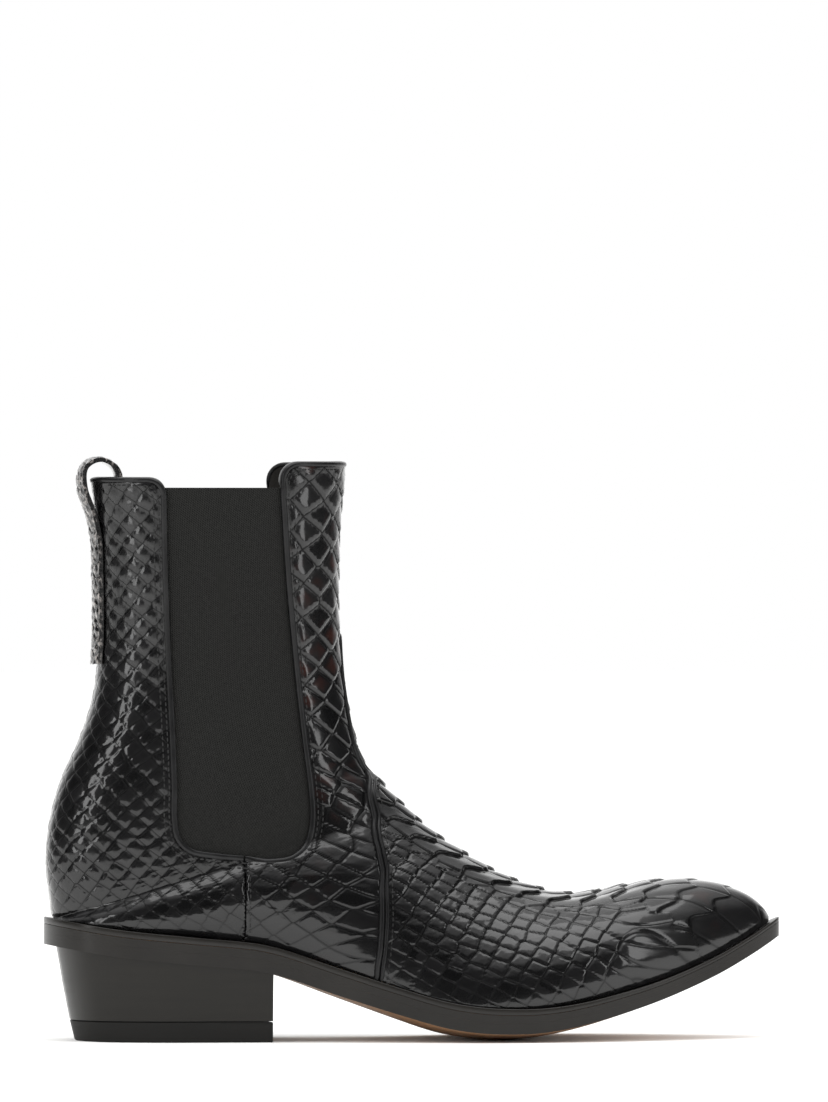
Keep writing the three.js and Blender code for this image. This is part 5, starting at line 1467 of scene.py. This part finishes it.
# %% [markdown]
# ## Finishes of what the frame keeps
# The stiffeners, the filler, the shank, the nails and the board inside keep the frame's shapes. They hardly show, so
# each only takes its material.

# %% Kept pieces
kept = {
    BOARD: ("toe_puff", "heel_counter", "insole_board", "shank_filler", "heel_seat_filler"),
    CORK: ("cork_filler",),
    STEEL: ("shank",),
}
finish_for = {node: finish for finish, nodes in kept.items() for node in nodes}
for node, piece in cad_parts.items():
    if piece.type == "MESH":
        finish = finish_for.get(node)
        if finish is None and ("nail" in node or "rivet" in node):
            finish = STEEL
        if finish is None and not piece.hide_render:
            finish = BOARD
            print("kept in board:", node)
        if finish is not None:
            for holder in piece.material_slots:
                holder.material = finish

# %% [markdown]
# ## Camera, floor and light
# The camera stands five metres off with a long lens, a little below the topline, as for a shop's picture. The room is
# not one light. The camera sees it white, and so the floor's horizon doesn't show. Diffuse rays see it brighter still,
# which lights the floor. Glossy rays see a dark room, lit from above and from the back, so the leather stays black.

# %% Camera
camera = bpy.data.objects.new("camera", bpy.data.cameras.new("camera"))
bpy.context.collection.objects.link(camera)
turn, distance, camera_height = math.radians(-6.5), 5.0, 0.2007
camera.location = (distance * math.sin(turn), -distance * math.cos(turn), camera_height)
camera.rotation_euler = (math.radians(90), 0, turn)
camera.data.sensor_fit = "VERTICAL"
camera.data.sensor_height = 36
camera.data.lens = 397
camera.data.clip_end = 100
bpy.context.scene.camera = camera

# %% Floor
paper, _, _ = finish_of(
    "studio floor", Base_Color=(0.95, 0.95, 0.94, 1), Roughness=1.0, Specular_IOR_Level=0.0
)
floor_mesh = bpy.data.meshes.new("studio_floor")
floor_mesh.from_pydata([(-15, -15, 0), (15, -15, 0), (15, 15, 0), (-15, 15, 0)], [], [(0, 1, 2, 3)])
floor_mesh.materials.append(paper)
floor = placed_object("studio_floor", floor_mesh)
floor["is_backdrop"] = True

# %% Room and lights
world = bpy.data.worlds.new("studio")
bpy.context.scene.world = world
world.use_nodes = True
room = Bench(world.node_tree)
way = room.node("ShaderNodeTexCoord", None, None, "Generated")
parts = [room.node("ShaderNodeSeparateXYZ", None, {0: way}, axis) for axis in ("X", "Y", "Z")]
up = parts[2].ramp(0.55, 0.98, 0.0, 1.0)
front = (parts[1] * -1.0).ramp(0.93, 1.0, 0.0, 1.0)
behind = parts[1].ramp(0.35, 0.95, 0.0, 1.0)
ROOM_SEEN, ROOM_DIFFUSE = 1.0, 1.25
light = 0.03 + up * 1.1 + front * 0.05 + behind * 1.3
seen = room.node("ShaderNodeLightPath", None, None, "Is Camera Ray")
diffuse = room.node("ShaderNodeLightPath", None, None, "Is Diffuse Ray")
around = room.node("ShaderNodeMix", {"data_type": "FLOAT"}, {0: diffuse, 2: light, 3: ROOM_DIFFUSE})
strength = room.node("ShaderNodeMix", {"data_type": "FLOAT"}, {0: seen, 2: around, 3: ROOM_SEEN})
backdrop = world.node_tree.nodes["Background"]
backdrop.inputs["Color"].default_value = (1, 1, 1, 1)
world.node_tree.links.new(strength.socket, backdrop.inputs["Strength"])


def softbox(name, place, aim, size, power):
    lamp = bpy.data.lights.new(name, "AREA")
    lamp.shape, lamp.size, lamp.size_y, lamp.energy = "RECTANGLE", *size, power
    light = bpy.data.objects.new(name, lamp)
    bpy.context.collection.objects.link(light)
    light.location = place
    light.rotation_euler = (Vector(aim) - Vector(place)).to_track_quat("-Z", "Y").to_euler()
    light.visible_camera = False


softbox("overhead", (0.0, -0.2, 2.6), (0, 0, 0.1), (2.4, 1.8), 26)
softbox("left_strip", (-1.9, -1.2, 0.9), (0, 0, 0.12), (0.4, 1.6), 9)
softbox("right_strip", (1.8, -1.4, 1.0), (0, 0, 0.1), (0.4, 1.6), 7)
bpy.context.scene.view_settings.view_transform = "Standard"

# %% Sizes and checks
low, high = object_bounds()
grown_low = [round((a - b) / MM, 2) for a, b in zip(cad_low, low)]
grown_high = [round((b - a) / MM, 2) for a, b in zip(cad_high, high)]
print("box grew by", grown_low, grown_high, "mm")
